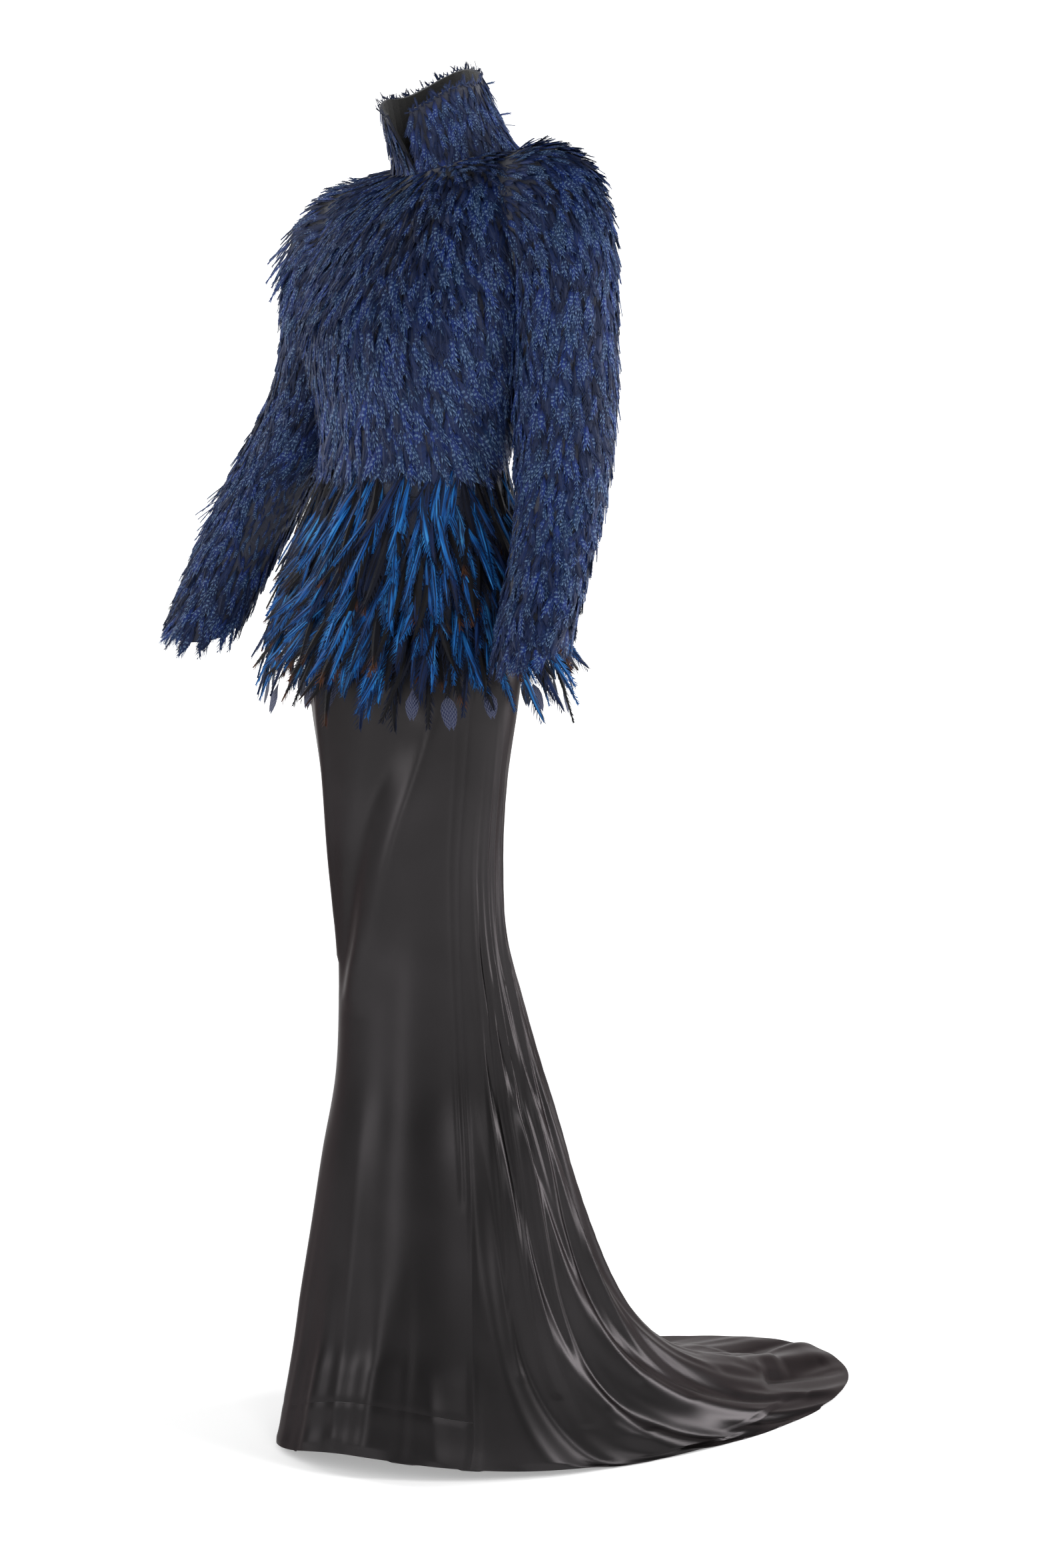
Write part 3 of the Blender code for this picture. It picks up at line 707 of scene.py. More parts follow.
def inside_torso(point, margin):
    """True where a point lies inside the bodice, or nearer to it than the margin."""
    height = point.z + SHOULDER_HEIGHT - SHOULDER_LEAN * point.x
    if not BODICE_BOTTOM < height < BODICE_TOP:
        return False
    place = 0.0
    while place < waist_ring and between(BODICE_LEVELS, place).side > height:
        place += 0.25
    ring = between(BODICE_LEVELS, place)
    depth = ring.ahead if point.y < ring.centre else ring.behind
    across = point.x / (ring.width + margin)
    along = (point.y - ring.centre) / (depth + margin)
    return across * across + along * along < 1.0


def inside_sleeve(table, side, point, margin):
    """True where a point lies inside a sleeve, nearer to its middle line than its wall."""
    for k in range(0, 4 * (len(table) - 1) + 1):
        ring = between(table, k / 4)
        middle = lean(Vector((ring.x * side, ring.y, ring.height - SHOULDER_HEIGHT)))
        if (point - middle).length < min(ring.across, ring.deep) - margin:
            return True
    return False


print("sewing grounds ready")

# %% [markdown]
# ## The shapes of the feathers
# Four kinds are sewn on this dress. Small feathers with pale dots cover the bodice, sleeves and
# collar, and longer wisps stand out among them. Long narrow hackles hang on the peplum, their
# edges broken up into barbs. A few larger round-ended dotted ones hang below them. Each is a
# thin curved blade with its root at the origin, lying along X with Z up. Two to five unlike
# blades of each kind are enough, because each copy is turned and scaled a little.

# %% Feather blades


def blade_mesh(name, length, width, rows, stem, barbs, arch, bend, seed):
    """A round-ended blade on a bare stem. barbs cuts its edges, arch lifts it, bend turns it."""
    draw = random.Random(seed)
    shape = bmesh.new()
    uv_layer = shape.loops.layers.uv.new("Feather")
    centre, left, right = [], [], []
    shares = [i / rows for i in range(rows + 1)]
    for share in shares:
        along = max(0.0, (share - stem) / (1 - stem))
        half = width / 2 * max(0.06, math.sin(math.pi * min(0.97, along**0.8)) ** 0.6)
        x = length * share
        y = bend * length * share * share
        z = arch * length * math.sin(math.pi * min(1.0, share * 0.9)) * 0.5
        ragged = 1 - barbs * draw.random()
        ragged_too = 1 - barbs * draw.random()
        droop = 0.16 * half
        centre.append(shape.verts.new((x, y, z + droop)))
        slant = 0.25 * width * along
        left.append(shape.verts.new((x + slant, y + half * ragged, z)))
        right.append(shape.verts.new((x + slant, y - half * ragged_too, z)))
    for i in range(rows):
        for side, order in ((left, 1), (right, -1)):
            corners = [centre[i], centre[i + 1], side[i + 1], side[i]]
            if order < 0:
                corners = [side[i], side[i + 1], centre[i + 1], centre[i]]
            face = shape.faces.new(corners)
            for loop in face.loops:
                across = 0.5 if loop.vert in centre else (1.0 if order > 0 else 0.0)
                row = i if loop.vert in (centre[i], side[i]) else i + 1
                loop[uv_layer].uv = (shares[row], across)
    mesh = finished(shape, name)
    mesh.shade_smooth()
    return mesh


def barbed_blade(name, length, width, barb_count, bend, seed, rows=5, core=0.40):
    """A feather with a solid narrow blade along its shaft and loose barbs on both sides."""
    draw = random.Random(seed)
    shape = bmesh.new()
    uv_layer = shape.loops.layers.uv.new("Feather")

    def spine(share):
        z = 0.035 * length * math.sin(math.pi * min(1.0, share * 0.85))
        return Vector((length * share, bend * length * share * share, z))

    def half_width(share):
        swell = min(1.0, 0.35 + 2.2 * share)
        return width / 2 * swell * (1 - max(0.0, (share - 0.55) / 0.45) ** 2 * 0.75)

    def add(corners):
        verts = [shape.verts.new(p) for p, _ in corners]
        face = shape.faces.new(verts)
        for loop, (_, uv) in zip(face.loops, corners):
            loop[uv_layer].uv = uv

    for i in range(rows):
        a, b = i / rows * 0.97, (i + 1) / rows * 0.97
        pa, pb = spine(a), spine(b)
        ha, hb = half_width(a) * core, half_width(b) * core * (0.2 if i == rows - 1 else 1.0)
        up = Vector((0, 0, 0.10 * width))
        for sign in (1, -1):
            side_a, side_b = Vector((0, sign * ha, 0)), Vector((0, sign * hb, 0))
            far = 0.5 + 0.2 * sign
            ring = [
                (pa + up, (a, 0.5)),
                (pb + up, (b, 0.5)),
                (pb + side_b, (b, far)),
                (pa + side_a, (a, far)),
            ]
            add(ring if sign > 0 else ring[::-1])
    for sign in (1, -1):
        for k in range(barb_count):
            share = 0.10 + 0.86 * (k + draw.random() * 0.6) / barb_count
            root = spine(share) + Vector((0, sign * half_width(share) * core * 0.6, 0))
            reach = half_width(share) * draw.uniform(0.85, 1.15)
            run = reach * draw.uniform(1.7, 2.6)
            thick = length / barb_count * draw.uniform(0.70, 1.00)
            tip = spine(min(1.0, share)) + Vector((run, sign * reach, -0.02 * width))
            far = 0.5 + 0.5 * sign
            ring = [
                (root, (share, 0.5 + 0.15 * sign)),
                (root + Vector((thick, 0, 0)), (min(1.0, share + 0.05), 0.5 + 0.15 * sign)),
                (tip, (min(1.0, share + 0.1), far)),
            ]
            add(ring if sign > 0 else ring[::-1])
    return finished(shape, name)


def feather_kind(name, shaped, *blades):
    """A collection of blades for the sowing tree to pick from. It is not part of the scene."""
    kind = bpy.data.collections.new(name)
    for blade in blades:
        mesh = shaped(*blade)
        kind.objects.link(bpy.data.objects.new(mesh.name, mesh))
    return kind


small_feathers = feather_kind(
    "small_dotted",
    barbed_blade,
    ("dotted_a", 1.00, 0.40, 7, 0.05, 1, 3, 0.58),
    ("dotted_b", 1.00, 0.33, 7, -0.06, 2, 3, 0.50),
    ("dotted_c", 0.88, 0.44, 7, 0.02, 3, 3, 0.62),
    ("dotted_d", 1.18, 0.26, 8, -0.03, 4, 3, 0.42),
    ("dotted_e", 1.08, 0.30, 8, 0.09, 5, 3, 0.45),
)
wisp_feathers = feather_kind(
    "wisps",
    barbed_blade,
    ("wisp_a", 1.0, 0.26, 9, 0.06, 11),
    ("wisp_b", 1.1, 0.22, 9, -0.08, 12),
)
hackle_feathers = feather_kind(
    "hackles",
    barbed_blade,
    ("hackle_a", 1.00, 0.160, 20, 0.13, 21, 6, 0.46),
    ("hackle_b", 1.00, 0.140, 20, -0.14, 22, 6, 0.46),
    ("hackle_c", 0.90, 0.175, 18, 0.07, 23, 6, 0.50),
    ("hackle_d", 1.08, 0.125, 22, -0.06, 24, 6, 0.42),
)
pendant_feathers = feather_kind(
    "pendants",
    blade_mesh,
    ("pendant_a", 1.0, 0.180, 16, 0.71, 0.10, 0.04, 0.03, 31),
    ("pendant_b", 1.0, 0.160, 16, 0.74, 0.12, 0.05, -0.04, 32),
)
for kind in (small_feathers, wisp_feathers, hackle_feathers, pendant_feathers):
    print(kind.name, [len(o.data.polygons) for o in kind.objects], "faces")

# %% [markdown]
# ## Node trees as expressions
# Sums and products of sockets read best as plain arithmetic, so a small class wraps a socket
# and turns each operator into a Math node. A second class adds any node to a tree: its settings
# come first, then its sockets, in their order or by name.

# %% Signals and nodes


class Signal:
    """One socket with a single number in it, ready for arithmetic."""

    def __init__(self, make, socket):
        self.make = make
        self.socket = socket

    def combine(self, operation, first, second, clamp=False):
        settings = {"operation": operation, "use_clamp": clamp}
        node = self.make.node("ShaderNodeMath", settings, first, second)
        return Signal(self.make, node.outputs[0])

    def __add__(self, other):
        return self.combine("ADD", self, other)

    def __radd__(self, other):
        return self.combine("ADD", other, self)

    def __sub__(self, other):
        return self.combine("SUBTRACT", self, other)

    def __rsub__(self, other):
        return self.combine("SUBTRACT", other, self)

    def __mul__(self, other):
        return self.combine("MULTIPLY", self, other)

    def __rmul__(self, other):
        return self.combine("MULTIPLY", other, self)

    def least(self, other):
        return self.combine("MINIMUM", self, other)

    def most(self, other):
        return self.combine("MAXIMUM", self, other)

    def repeats(self):
        return self.combine("FRACT", self, 0.0)

    def size(self):
        return self.combine("ABSOLUTE", self, 0.0)

    def from_to(self, low, high):
        """0 below low and 1 above high, smooth between."""
        share = self.combine("MULTIPLY", self - low, 1.0 / (high - low), clamp=True)
        return share * share * (3.0 - 2.0 * share)


class NodeMaker:
    """Adds nodes to one tree. A value can be a signal, a socket to link, or a constant."""

    def __init__(self, tree):
        self.tree = tree

    def plug(self, value, socket):
        if isinstance(value, Signal):
            value = value.socket
        if isinstance(value, bpy.types.NodeSocket):
            self.tree.links.new(value, socket)
        else:
            socket.default_value = value

    def node(self, kind, settings=None, *in_order, **by_name):
        made = self.tree.nodes.new(kind)
        for key, value in (settings or {}).items():
            setattr(made, key, value)
        for value, socket in zip(in_order, made.inputs):
            self.plug(value, socket)
        for key, value in by_name.items():
            same_name = [s for s in made.inputs if s.name == key.replace("_", " ")]
            self.plug(value, next((s for s in same_name if s.enabled), same_name[0]))
        return made


print("node helpers ready")

# %% [markdown]
# ## Sowing feathers with Geometry Nodes
# Feathers repeat thousands of times, so one node tree sows them all. It scatters points on a
# ground, keeps them apart, and puts a blade on each. The blade's Z follows the ground's normal
# and its X follows `flow`; then it tilts up a little and turns by a random angle. A random
# `tint` for each feather is stored before the copies are made real, so that the material can
# colour each feather by itself.

# %% Sowing tree


def sowing_tree():
    tree = bpy.data.node_groups.new("sow_feathers", "GeometryNodeTree")
    face = tree.interface
    sockets = [("Geometry", "Geometry"), ("Kind", "Collection"), ("Finish", "Material")]
    for name in ("Apart", "Density", "Length", "Uneven", "Tilt", "Turn", "Sink"):
        sockets.append((name, "Float"))
    sockets.append(("Seed", "Int"))
    for name, kind in sockets:
        face.new_socket(name, in_out="INPUT", socket_type="NodeSocket" + kind)
    face.new_socket("Geometry", in_out="OUTPUT", socket_type="NodeSocketGeometry")
    make = NodeMaker(tree)
    given = make.node("NodeGroupInput").outputs

    def number(name):
        return Signal(make, given[name])

    def attribute(name, data_type="FLOAT"):
        node = make.node("GeometryNodeInputNamedAttribute", {"data_type": data_type}, Name=name)
        return Signal(make, node.outputs["Attribute"])

    def chance(low, high, seed):
        """A random number for each point, by the piece's seed and one of its own."""
        settings = {"data_type": "FLOAT"}
        seed = number("Seed") + seed
        node = make.node("FunctionNodeRandomValue", settings, Min=low, Max=high, Seed=seed)
        return Signal(make, [s for s in node.outputs if s.enabled][0])

    sown = make.node(
        "GeometryNodeDistributePointsOnFaces",
        {"distribute_method": "POISSON"},
        Mesh=given["Geometry"],
        Distance_Min=given["Apart"],
        Density_Max=given["Density"],
        Density_Factor=attribute("density"),
        Seed=given["Seed"],
    ).outputs
    facing = make.node(
        "FunctionNodeAxesToRotation",
        {"primary_axis": "Z", "secondary_axis": "X"},
        sown["Normal"],
        attribute("flow", "FLOAT_VECTOR"),
    )
    angles = make.node(
        "ShaderNodeCombineXYZ",
        X=chance(-0.10, 0.10, 11),
        Y=number("Tilt") * chance(0.55, 1.45, 12) * -1.0,
        Z=number("Turn") * chance(-1.0, 1.0, 13),
    )
    euler = make.node("FunctionNodeEulerToRotation", None, angles.outputs[0])
    turned = make.node(
        "FunctionNodeRotateRotation",
        {"rotation_space": "LOCAL"},
        facing.outputs[0],
        euler.outputs[0],
    )
    uneven = number("Uneven") * chance(-1.0, 1.0, 14)
    scale = number("Length") * (uneven + 1.0) * attribute("size")
    blades = make.node(
        "GeometryNodeCollectionInfo",
        {"transform_space": "ORIGINAL"},
        Collection=given["Kind"],
        Separate_Children=True,
        Reset_Children=True,
    )
    inward = make.node(
        "ShaderNodeVectorMath",
        {"operation": "SCALE"},
        sown["Normal"],
        Scale=number("Sink") * -1.0,
    )
    sunk = make.node("GeometryNodeSetPosition", Geometry=sown["Points"], Offset=inward.outputs[0])
    placed = make.node(
        "GeometryNodeInstanceOnPoints",
        Points=sunk.outputs["Geometry"],
        Instance=blades.outputs[0],
        Pick_Instance=True,
        Rotation=turned.outputs[0],
        Scale=scale,
    )
    tinted = make.node(
        "GeometryNodeStoreNamedAttribute",
        {"data_type": "FLOAT", "domain": "INSTANCE"},
        Geometry=placed.outputs["Instances"],
        Name="tint",
        Value=chance(0.0, 1.0, 15),
    )
    real = make.node("GeometryNodeRealizeInstances", Geometry=tinted.outputs["Geometry"])
    coated = make.node(
        "GeometryNodeSetMaterial",
        Geometry=real.outputs["Geometry"],
        Material=given["Finish"],
    )
    make.node("NodeGroupOutput", Geometry=coated.outputs["Geometry"])
    return tree


sow_feathers = sowing_tree()
print("sowing tree:", len(sow_feathers.nodes), "nodes")

# %% [markdown]
# ## Writing finishes
# A finish is a material and the few kinds of shader node that this dress needs. Numbers are
# worked out with signals. Colours go through Mix nodes and ramps instead, because a Math node
# would turn them grey.

# %% Finish helpers


class Finish(NodeMaker):
    """A material and its Principled shader. Constants go straight on the shader's sockets."""

    def __init__(self, name, **constants):
        self.material = bpy.data.materials.new(name)
        self.material.use_nodes = True
        super().__init__(self.material.node_tree)
        self.shader = self.tree.nodes["Principled BSDF"]
        for key, value in constants.items():
            self.shader.inputs[key.replace("_", " ")].default_value = value

    def number(self, node, output=0):
        return Signal(self, node.outputs[output])

    def attribute(self, name):
        node = self.node("ShaderNodeAttribute", {"attribute_name": name})
        return self.number(node, "Fac")

    def along_and_across(self, uv_name):
        uv = self.node("ShaderNodeUVMap", {"uv_map": uv_name})
        parts = self.node("ShaderNodeSeparateXYZ", Vector=uv.outputs[0])
        return self.number(parts, "X"), self.number(parts, "Y")

    def vector(self, x, y, z=0.0):
        return self.node("ShaderNodeCombineXYZ", X=x, Y=y, Z=z).outputs[0]

    def noise(self, where, scale, detail=2.0, roughness=0.5):
        node = self.node(
            "ShaderNodeTexNoise", Vector=where, Scale=scale, Detail=detail, Roughness=roughness
        )
        return self.number(node)

    def on_object(self):
        return self.node("ShaderNodeTexCoord").outputs["Object"]

    def blend(self, share, first, second):
        node = self.node("ShaderNodeMix", {"data_type": "RGBA"})
        self.plug(share, node.inputs[0])
        for value, socket in ((first, node.inputs[6]), (second, node.inputs[7])):
            self.plug((*value, 1.0) if isinstance(value, tuple) else value, socket)
        return node.outputs[2]

    def ramp(self, signal, stops):
        node = self.node("ShaderNodeValToRGB", None, signal)
        points = node.color_ramp.elements
        while len(points) < len(stops):
            points.new(0.5)
        for point, (place, colour) in zip(points, stops):
            point.position = place
            point.color = (*colour, 1.0)
        return node.outputs[0]

    def coat_of(self, colour, roughness=None, height=None, depth=0.001, strength=1.0):
        self.plug(colour, self.shader.inputs["Base Color"])
        if roughness is not None:
            self.plug(roughness, self.shader.inputs["Roughness"])
        if height is not None:
            bump = self.node("ShaderNodeBump", Height=height, Distance=depth, Strength=strength)
            self.plug(bump.outputs[0], self.shader.inputs["Normal"])
        return self.material


print("finish helpers ready")

# %% [markdown]
# ## Black satin
# Satin is woven so that long threads lie on top, which gives it a soft, wide gloss with a warm
# grey cast. A plain black cloth would mirror the pale room wherever it is seen at a low angle,
# as on the train. So the finish is mostly metallic, though cloth is not metal, and its tint
# keeps those reflections dark. A fine thread pattern on the cloth's own UV map, in metres,
# breaks up the gloss, and slow noise makes it a little uneven.

# %% Satin finish
satin = Finish(
    "black_satin_cloth",
    Metallic=0.9,
    Specular_IOR_Level=0.30,
    Specular_Tint=(0.42, 0.40, 0.40, 1.0),
)
across, down = satin.along_and_across("Cloth")
threads = satin.noise(satin.vector(across * 2600.0, down * 420.0), 1.0, 1.0)
slubs = satin.noise(satin.vector(across * 240.0, down * 22.0), 1.0, 2.0)
cloudy = satin.noise(satin.on_object(), 6.0, 2.0)
satin_cloth = satin.coat_of(
    satin.blend(cloudy.from_to(0.3, 0.7), (0.0255, 0.0238, 0.0246), (0.0345, 0.0320, 0.0334)),
    0.26 + 0.08 * cloudy + 0.05 * threads,
    threads * 0.6 + slubs * 0.4,
    depth=0.00012,
    strength=0.35,
)
for piece, node in (
    (skirt_front, "skirt_front"),
    (hem_band, "skirt_front_hem_band"),
    (skirt_left, "skirt_back_left"),
    (skirt_right, "skirt_back_right"),
):
    piece.data.materials.append(satin_cloth)
    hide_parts(node)
    print(piece.name, "stands for", node)

# %% [markdown]
# ## Dyed feathers, with painted shade and sheen
# The small feathers are navy with small pale dots in slanting rows. Each feather has its own
# tint, and patches of the dress lean to ultramarine or to a duller navy. Every root is darkened,
# partly as the feather's own dark base and partly as painted shade under the feathers that lie
# over it. The hackles are cobalt, deep navy or almost black. Their lighter streak is partly dye
# and partly a painted sheen highlight. Their edges are darkened, partly in the barbs' own navy
# and partly as painted shade between the hackles, and some tips are rusty. The pendants are
# greyer, with smaller dots.

# %% Feather finishes


def dotted_finish(name, rows, columns, dot, pale, grey=0.0):
    finish = Finish(name, Specular_IOR_Level=0.24)
    tint = finish.attribute("tint")
    along, side = finish.along_and_across("Feather")
    patches = finish.noise(finish.on_object(), 9.0, 2.0, 0.6)
    mixed = (tint * 0.48 + patches * 0.66 - 0.06).most(0.0).least(1.0)
    dye = finish.ramp(
        mixed,
        [
            (0.10, (0.0016, 0.0030, 0.0120)),
            (0.32, (0.0032, 0.0110, 0.0480)),
            (0.48, (0.0046, 0.0180, 0.0860)),
            (0.60, (0.0046, 0.0240, 0.1700)),
            (0.70, (0.0060, 0.0250, 0.0980)),
            (0.95, (0.0140, 0.0470, 0.1250)),
        ],
    )
    dye = finish.blend(grey, dye, (0.026, 0.028, 0.052))
    slanting = along * 46.0 + (side - 0.5).size() * 22.0
    barbs = finish.noise(finish.vector(slanting, tint * 90.0), 1.0)
    colour = finish.blend(barbs.from_to(0.30, 0.75) * 0.55, dye, (0.0030, 0.0055, 0.0180))

    def dots(shift):
        across_dot = ((side * columns + shift).repeats() - 0.5) * (1.0 / columns)
        along_dot = ((along * rows + shift).repeats() - 0.5) * (2.4 / rows)
        return across_dot * across_dot + along_dot * along_dot

    nearest = dots(0.0).least(dots(0.5))
    spot = 1.0 - nearest.from_to(dot * dot * 0.5, dot * dot * 1.6)
    spot = spot * along.from_to(0.36, 0.52) * tint.from_to(0.32, 0.46)
    colour = finish.blend(spot * 0.66, colour, pale)
    shaft = 1.0 - (side - 0.5).size().from_to(0.015, 0.05)
    colour = finish.blend(shaft * 0.35, colour, (0.030, 0.040, 0.075))
    # The root half is darkened: partly the feather's own dark base, partly painted shade under the
    # feathers that lie over it.
    root = 1.0 - along.from_to(0.05, 0.45)
    colour = finish.blend(root * 0.68, colour, (0.0022, 0.0024, 0.0050))
    return finish.coat_of(colour, 0.52 + 0.16 * barbs, barbs * (1.0 - shaft), 0.0004, 0.5)


def hackle_finish(name):
    finish = Finish(name, Specular_IOR_Level=0.12)
    tint = finish.attribute("tint")
    along, side = finish.along_and_across("Feather")
    dye = finish.ramp(
        tint,
        [
            (0.00, (0.0022, 0.0018, 0.0019)),
            (0.32, (0.0026, 0.0024, 0.0036)),
            (0.36, (0.0022, 0.0070, 0.0280)),
            (0.50, (0.0028, 0.0170, 0.0800)),
            (0.57, (0.0034, 0.0640, 0.2600)),
            (0.85, (0.0045, 0.0980, 0.3500)),
            (1.00, (0.0110, 0.0480, 0.1400)),
        ],
    )
    streak = finish.noise(finish.vector(along * 2.6, side * 9.0, tint * 60.0), 1.0, 2.0)
    # The lighter cobalt streak is partly dye and partly a painted sheen highlight.
    light = streak.from_to(0.54, 0.74) * tint.from_to(0.48, 0.62)
    colour = finish.blend(light * 0.75, dye, (0.050, 0.290, 0.600))
    dark = (1.0 - streak.from_to(0.42, 0.56)) * 0.90
    colour = finish.blend(dark, colour, (0.0022, 0.0026, 0.0060))
    # The edges are darkened: partly the barbs' own navy, partly painted shade between neighbouring
    # hackles.
    edge = (side - 0.5).size().from_to(0.17, 0.40)
    colour = finish.blend(edge * 0.65, colour, (0.0032, 0.0080, 0.0280))
    rusty = along.from_to(0.80, 0.95) * (1.0 - tint.from_to(0.10, 0.22))
    colour = finish.blend(rusty * 0.5, colour, (0.120, 0.045, 0.016))
    # The root is darkened: partly the hackle's own dark base, partly painted shade under the row
    # above.
    root = 1.0 - along.from_to(0.02, 0.20)
    colour = finish.blend(root * 0.80, colour, (0.0020, 0.0026, 0.0070))
    fine = finish.noise(finish.vector(along * 70.0, side * 6.0, tint * 30.0), 1.0)
    return finish.coat_of(colour, 0.46 + 0.18 * fine, fine, 0.0003, 0.4)


dotted_plumage = dotted_finish("navy_dotted_feather", 6.0, 2.0, 0.088, (0.140, 0.230, 0.370))
pendant_plumage = dotted_finish(
    "grey_blue_pendant_feather", 22.0, 5.0, 0.036, (0.110, 0.120, 0.170), grey=0.8
)
hackle_plumage = hackle_finish("blue_hackle_blade")


def ground_finish(name, colour, tuft):
    """The cloth between the feathers, with the dark down at their roots."""
    finish = Finish(name, Sheen_Weight=0.2, Sheen_Roughness=0.6)
    down = finish.noise(finish.on_object(), 420.0, 3.0, 0.7)
    wide = finish.noise(finish.on_object(), 35.0, 2.0)
    mixed = finish.blend(down.from_to(0.35, 0.70) * wide, colour, tuft)
    return finish.coat_of(mixed, 0.72 + 0.15 * down, down, 0.0012, 0.9)


feather_base = ground_finish("navy_down_cloth", (0.0050, 0.0070, 0.0190), (0.012, 0.020, 0.060))
dark_lining = ground_finish("soft_black_lining", (0.0080, 0.0078, 0.0076), (0.014, 0.013, 0.012))
print("feather finishes:", dotted_plumage.name, hackle_plumage.name, pendant_plumage.name)

# %% [markdown]
# ## Sewing on the feathers
# `sown_piece` sows one ground and keeps the result as a plain mesh, one for each piece of the
# dress. The way the feathers lie follows the real dress: down and outward from the neck,
# slanting across the wearer's left breast, and straight down the sleeves. They are shorter
# where arm and waist stand close, so that the gap between them stays open.

# %% Sown pieces


def sown_piece(name, ground, kind, finish, slot, seed, apart, density, **sizes):
    """Sows one ground through the node tree and keeps the feathers as a plain mesh."""
    holder = bpy.data.objects.new(name + "_ground", ground)
    scene.collection.objects.link(holder)
    sower = holder.modifiers.new("sow", "NODES")
    sower.node_group = sow_feathers
    given = {
        "Kind": kind,
        "Finish": finish,
        "Seed": seed,
        "Apart": apart * 1.0,
        "Density": density,
        "Length": 0.03,
        "Uneven": 0.15,
        "Tilt": 0.16,
        "Turn": 0.25,
        "Sink": 0.0005,
    }
    given.update({key.capitalize(): value for key, value in sizes.items()})
    for item in sow_feathers.interface.items_tree:
        if item.in_out == "INPUT" and item.name in given:
            sower[item.identifier] = given[item.name]
    ready = holder.evaluated_get(bpy.context.evaluated_depsgraph_get())
    mesh = bpy.data.meshes.new_from_object(ready)
    mesh.name = name
    holder.modifiers.remove(sower)
    bpy.data.objects.remove(holder)
    piece = new_piece(name, mesh)
    mesh.calc_loop_triangles()
    print(name, len(mesh.loop_triangles), "triangles")
    return piece


def dotted_piece(name, ground, seed, length, turn, tilt=0.16, apart=0.0056, density=42000.0):
    """A ground sown with the small dotted feathers."""
    return sown_piece(
        name,
        ground,
        small_feathers,
        dotted_plumage,
        "navy_feathered_cloth",
        seed,
        apart,
        density,
        length=length,
        turn=turn,
        tilt=tilt,
    )


def bodice_lay(degrees, place):
    """Swept outward in front below the neck, and short beside the lower arm."""
    side = math.sin(math.radians(degrees))
    lean_out = 0.55 * side if side > 0 else 0.28 * side
    front = 0.5 + 0.5 * math.cos(math.radians(degrees))
    low = min(1.0, max(0.0, (place - 2.0) / 3.0))
    beside_arm = math.exp(-(((abs((degrees + 180) % 360 - 180) - 120) / 34) ** 4))
    short = 1 - 0.66 * beside_arm * min(1.0, max(0.0, place - 8.9))
    return lean_out * front * low, 1.0, (0.85 + 0.25 * min(1.0, place / 8)) * short


def sleeve_lay(degrees, place):
    """Down the arm with a slight wave, and short on the inner side beside the waist."""
    inner = math.exp(-(((degrees - 212) / 46) ** 4)) * math.exp(-(((place - 8.6) / 1.0) ** 4))
    size = (0.9 + 0.015 * place) * (1 - 0.66 * inner)
    return 0.10 * math.sin(math.radians(degrees) * 2 + place), 1.0, size


def collar_lay(degrees, place):
    """Down with a slight wave, and longer lower on the collar."""
    return 0.12 * math.sin(math.radians(degrees) * 3), 1.0, 0.75 + 0.08 * place


def collar_ground(turn, place):
    gap = math.radians(between(COLLAR_LEVELS, place).gap)
    share = turn / (2 * math.pi)
    return collar_surface(gap + (2 * math.pi - 2 * gap) * share, place)


SLEEVES = (("left", LEFT_SLEEVE, 1), ("right", RIGHT_SLEEVE, -1))
CLEARANCE = 0.004


def clear_of_sleeves(point):
    return not any(inside_sleeve(table, side, point, CLEARANCE) for _, table, side in SLEEVES)


def clear_of_torso(point):
    return not inside_torso(point, CLEARANCE)


bodice_rows = evenly(0.05, waist_ring - 1.15, 40)
for name, first, last, seed in (("front", -88, 88, 3), ("back", 88, 272, 4)):
    turns = evenly(first, last, 44)
    ground = ground_mesh(name, bodice_surface, turns, bodice_rows, bodice_lay, clear_of_sleeves)
    dotted_piece(name + "_feathers", ground, seed, length=0.034, turn=0.34, tilt=0.14)

sleeve_turns = evenly(0, 360, 36)
sleeve_rows = evenly(0.2, len(LEFT_SLEEVE) - 1.27, 48)
for name, table, side in SLEEVES:
    surface = sleeve_surface(table, side)
    ground = ground_mesh(
        name, surface, sleeve_turns, sleeve_rows, sleeve_lay, clear_of_torso, flip=side < 0
    )
    dotted_piece(name + "_sleeve_feathers", ground, 7 + side, length=0.031, turn=0.32, tilt=0.12)

collar_rows = evenly(0.02, 2.98, 12)
ground = ground_mesh("collar", collar_ground, evenly(0.5, 359.5, 60), collar_rows, collar_lay)
dotted_piece(
    "collar_feathers", ground, 12, length=0.027, turn=0.35, apart=0.0048, density=50000.0
)

# %% [markdown]
# ## The peplum's hackles
# Long narrow feathers hang from the waist down, sown most closely along five lines. They fan
# outwards on both sides and overlap so that no cloth shows. They take the place of the three
# rows of solid locks, and the first line lies over the lower edge of the bodice.

# %% Hackles
BODICE_OVERLAP = 0.95
SEWN_LINES = (0.25, 1.2, 2.2, 3.2, 3.9)


def waist_to_peplum(turn, place):
    """The last four centimetres of the bodice, then the peplum, as one surface."""
    if place >= 1.0:
        return peplum_surface(turn, place - 1.0)
    return bodice_surface(turn, waist_ring - BODICE_OVERLAP + BODICE_OVERLAP * place)


def peplum_lay(degrees, place):
    """Fanned to both sides, more so lower down, and closest along the sewn lines."""
    sweep = (0.26 + 0.34 * min(1.0, place / 2.4)) * math.sin(math.radians(degrees - 50))
    row = max(math.exp(-(((place - line) / 0.30) ** 2)) for line in SEWN_LINES)
    return sweep, 0.25 + 0.75 * row, 0.92 + 0.08 * math.sin(math.radians(degrees) * 5)


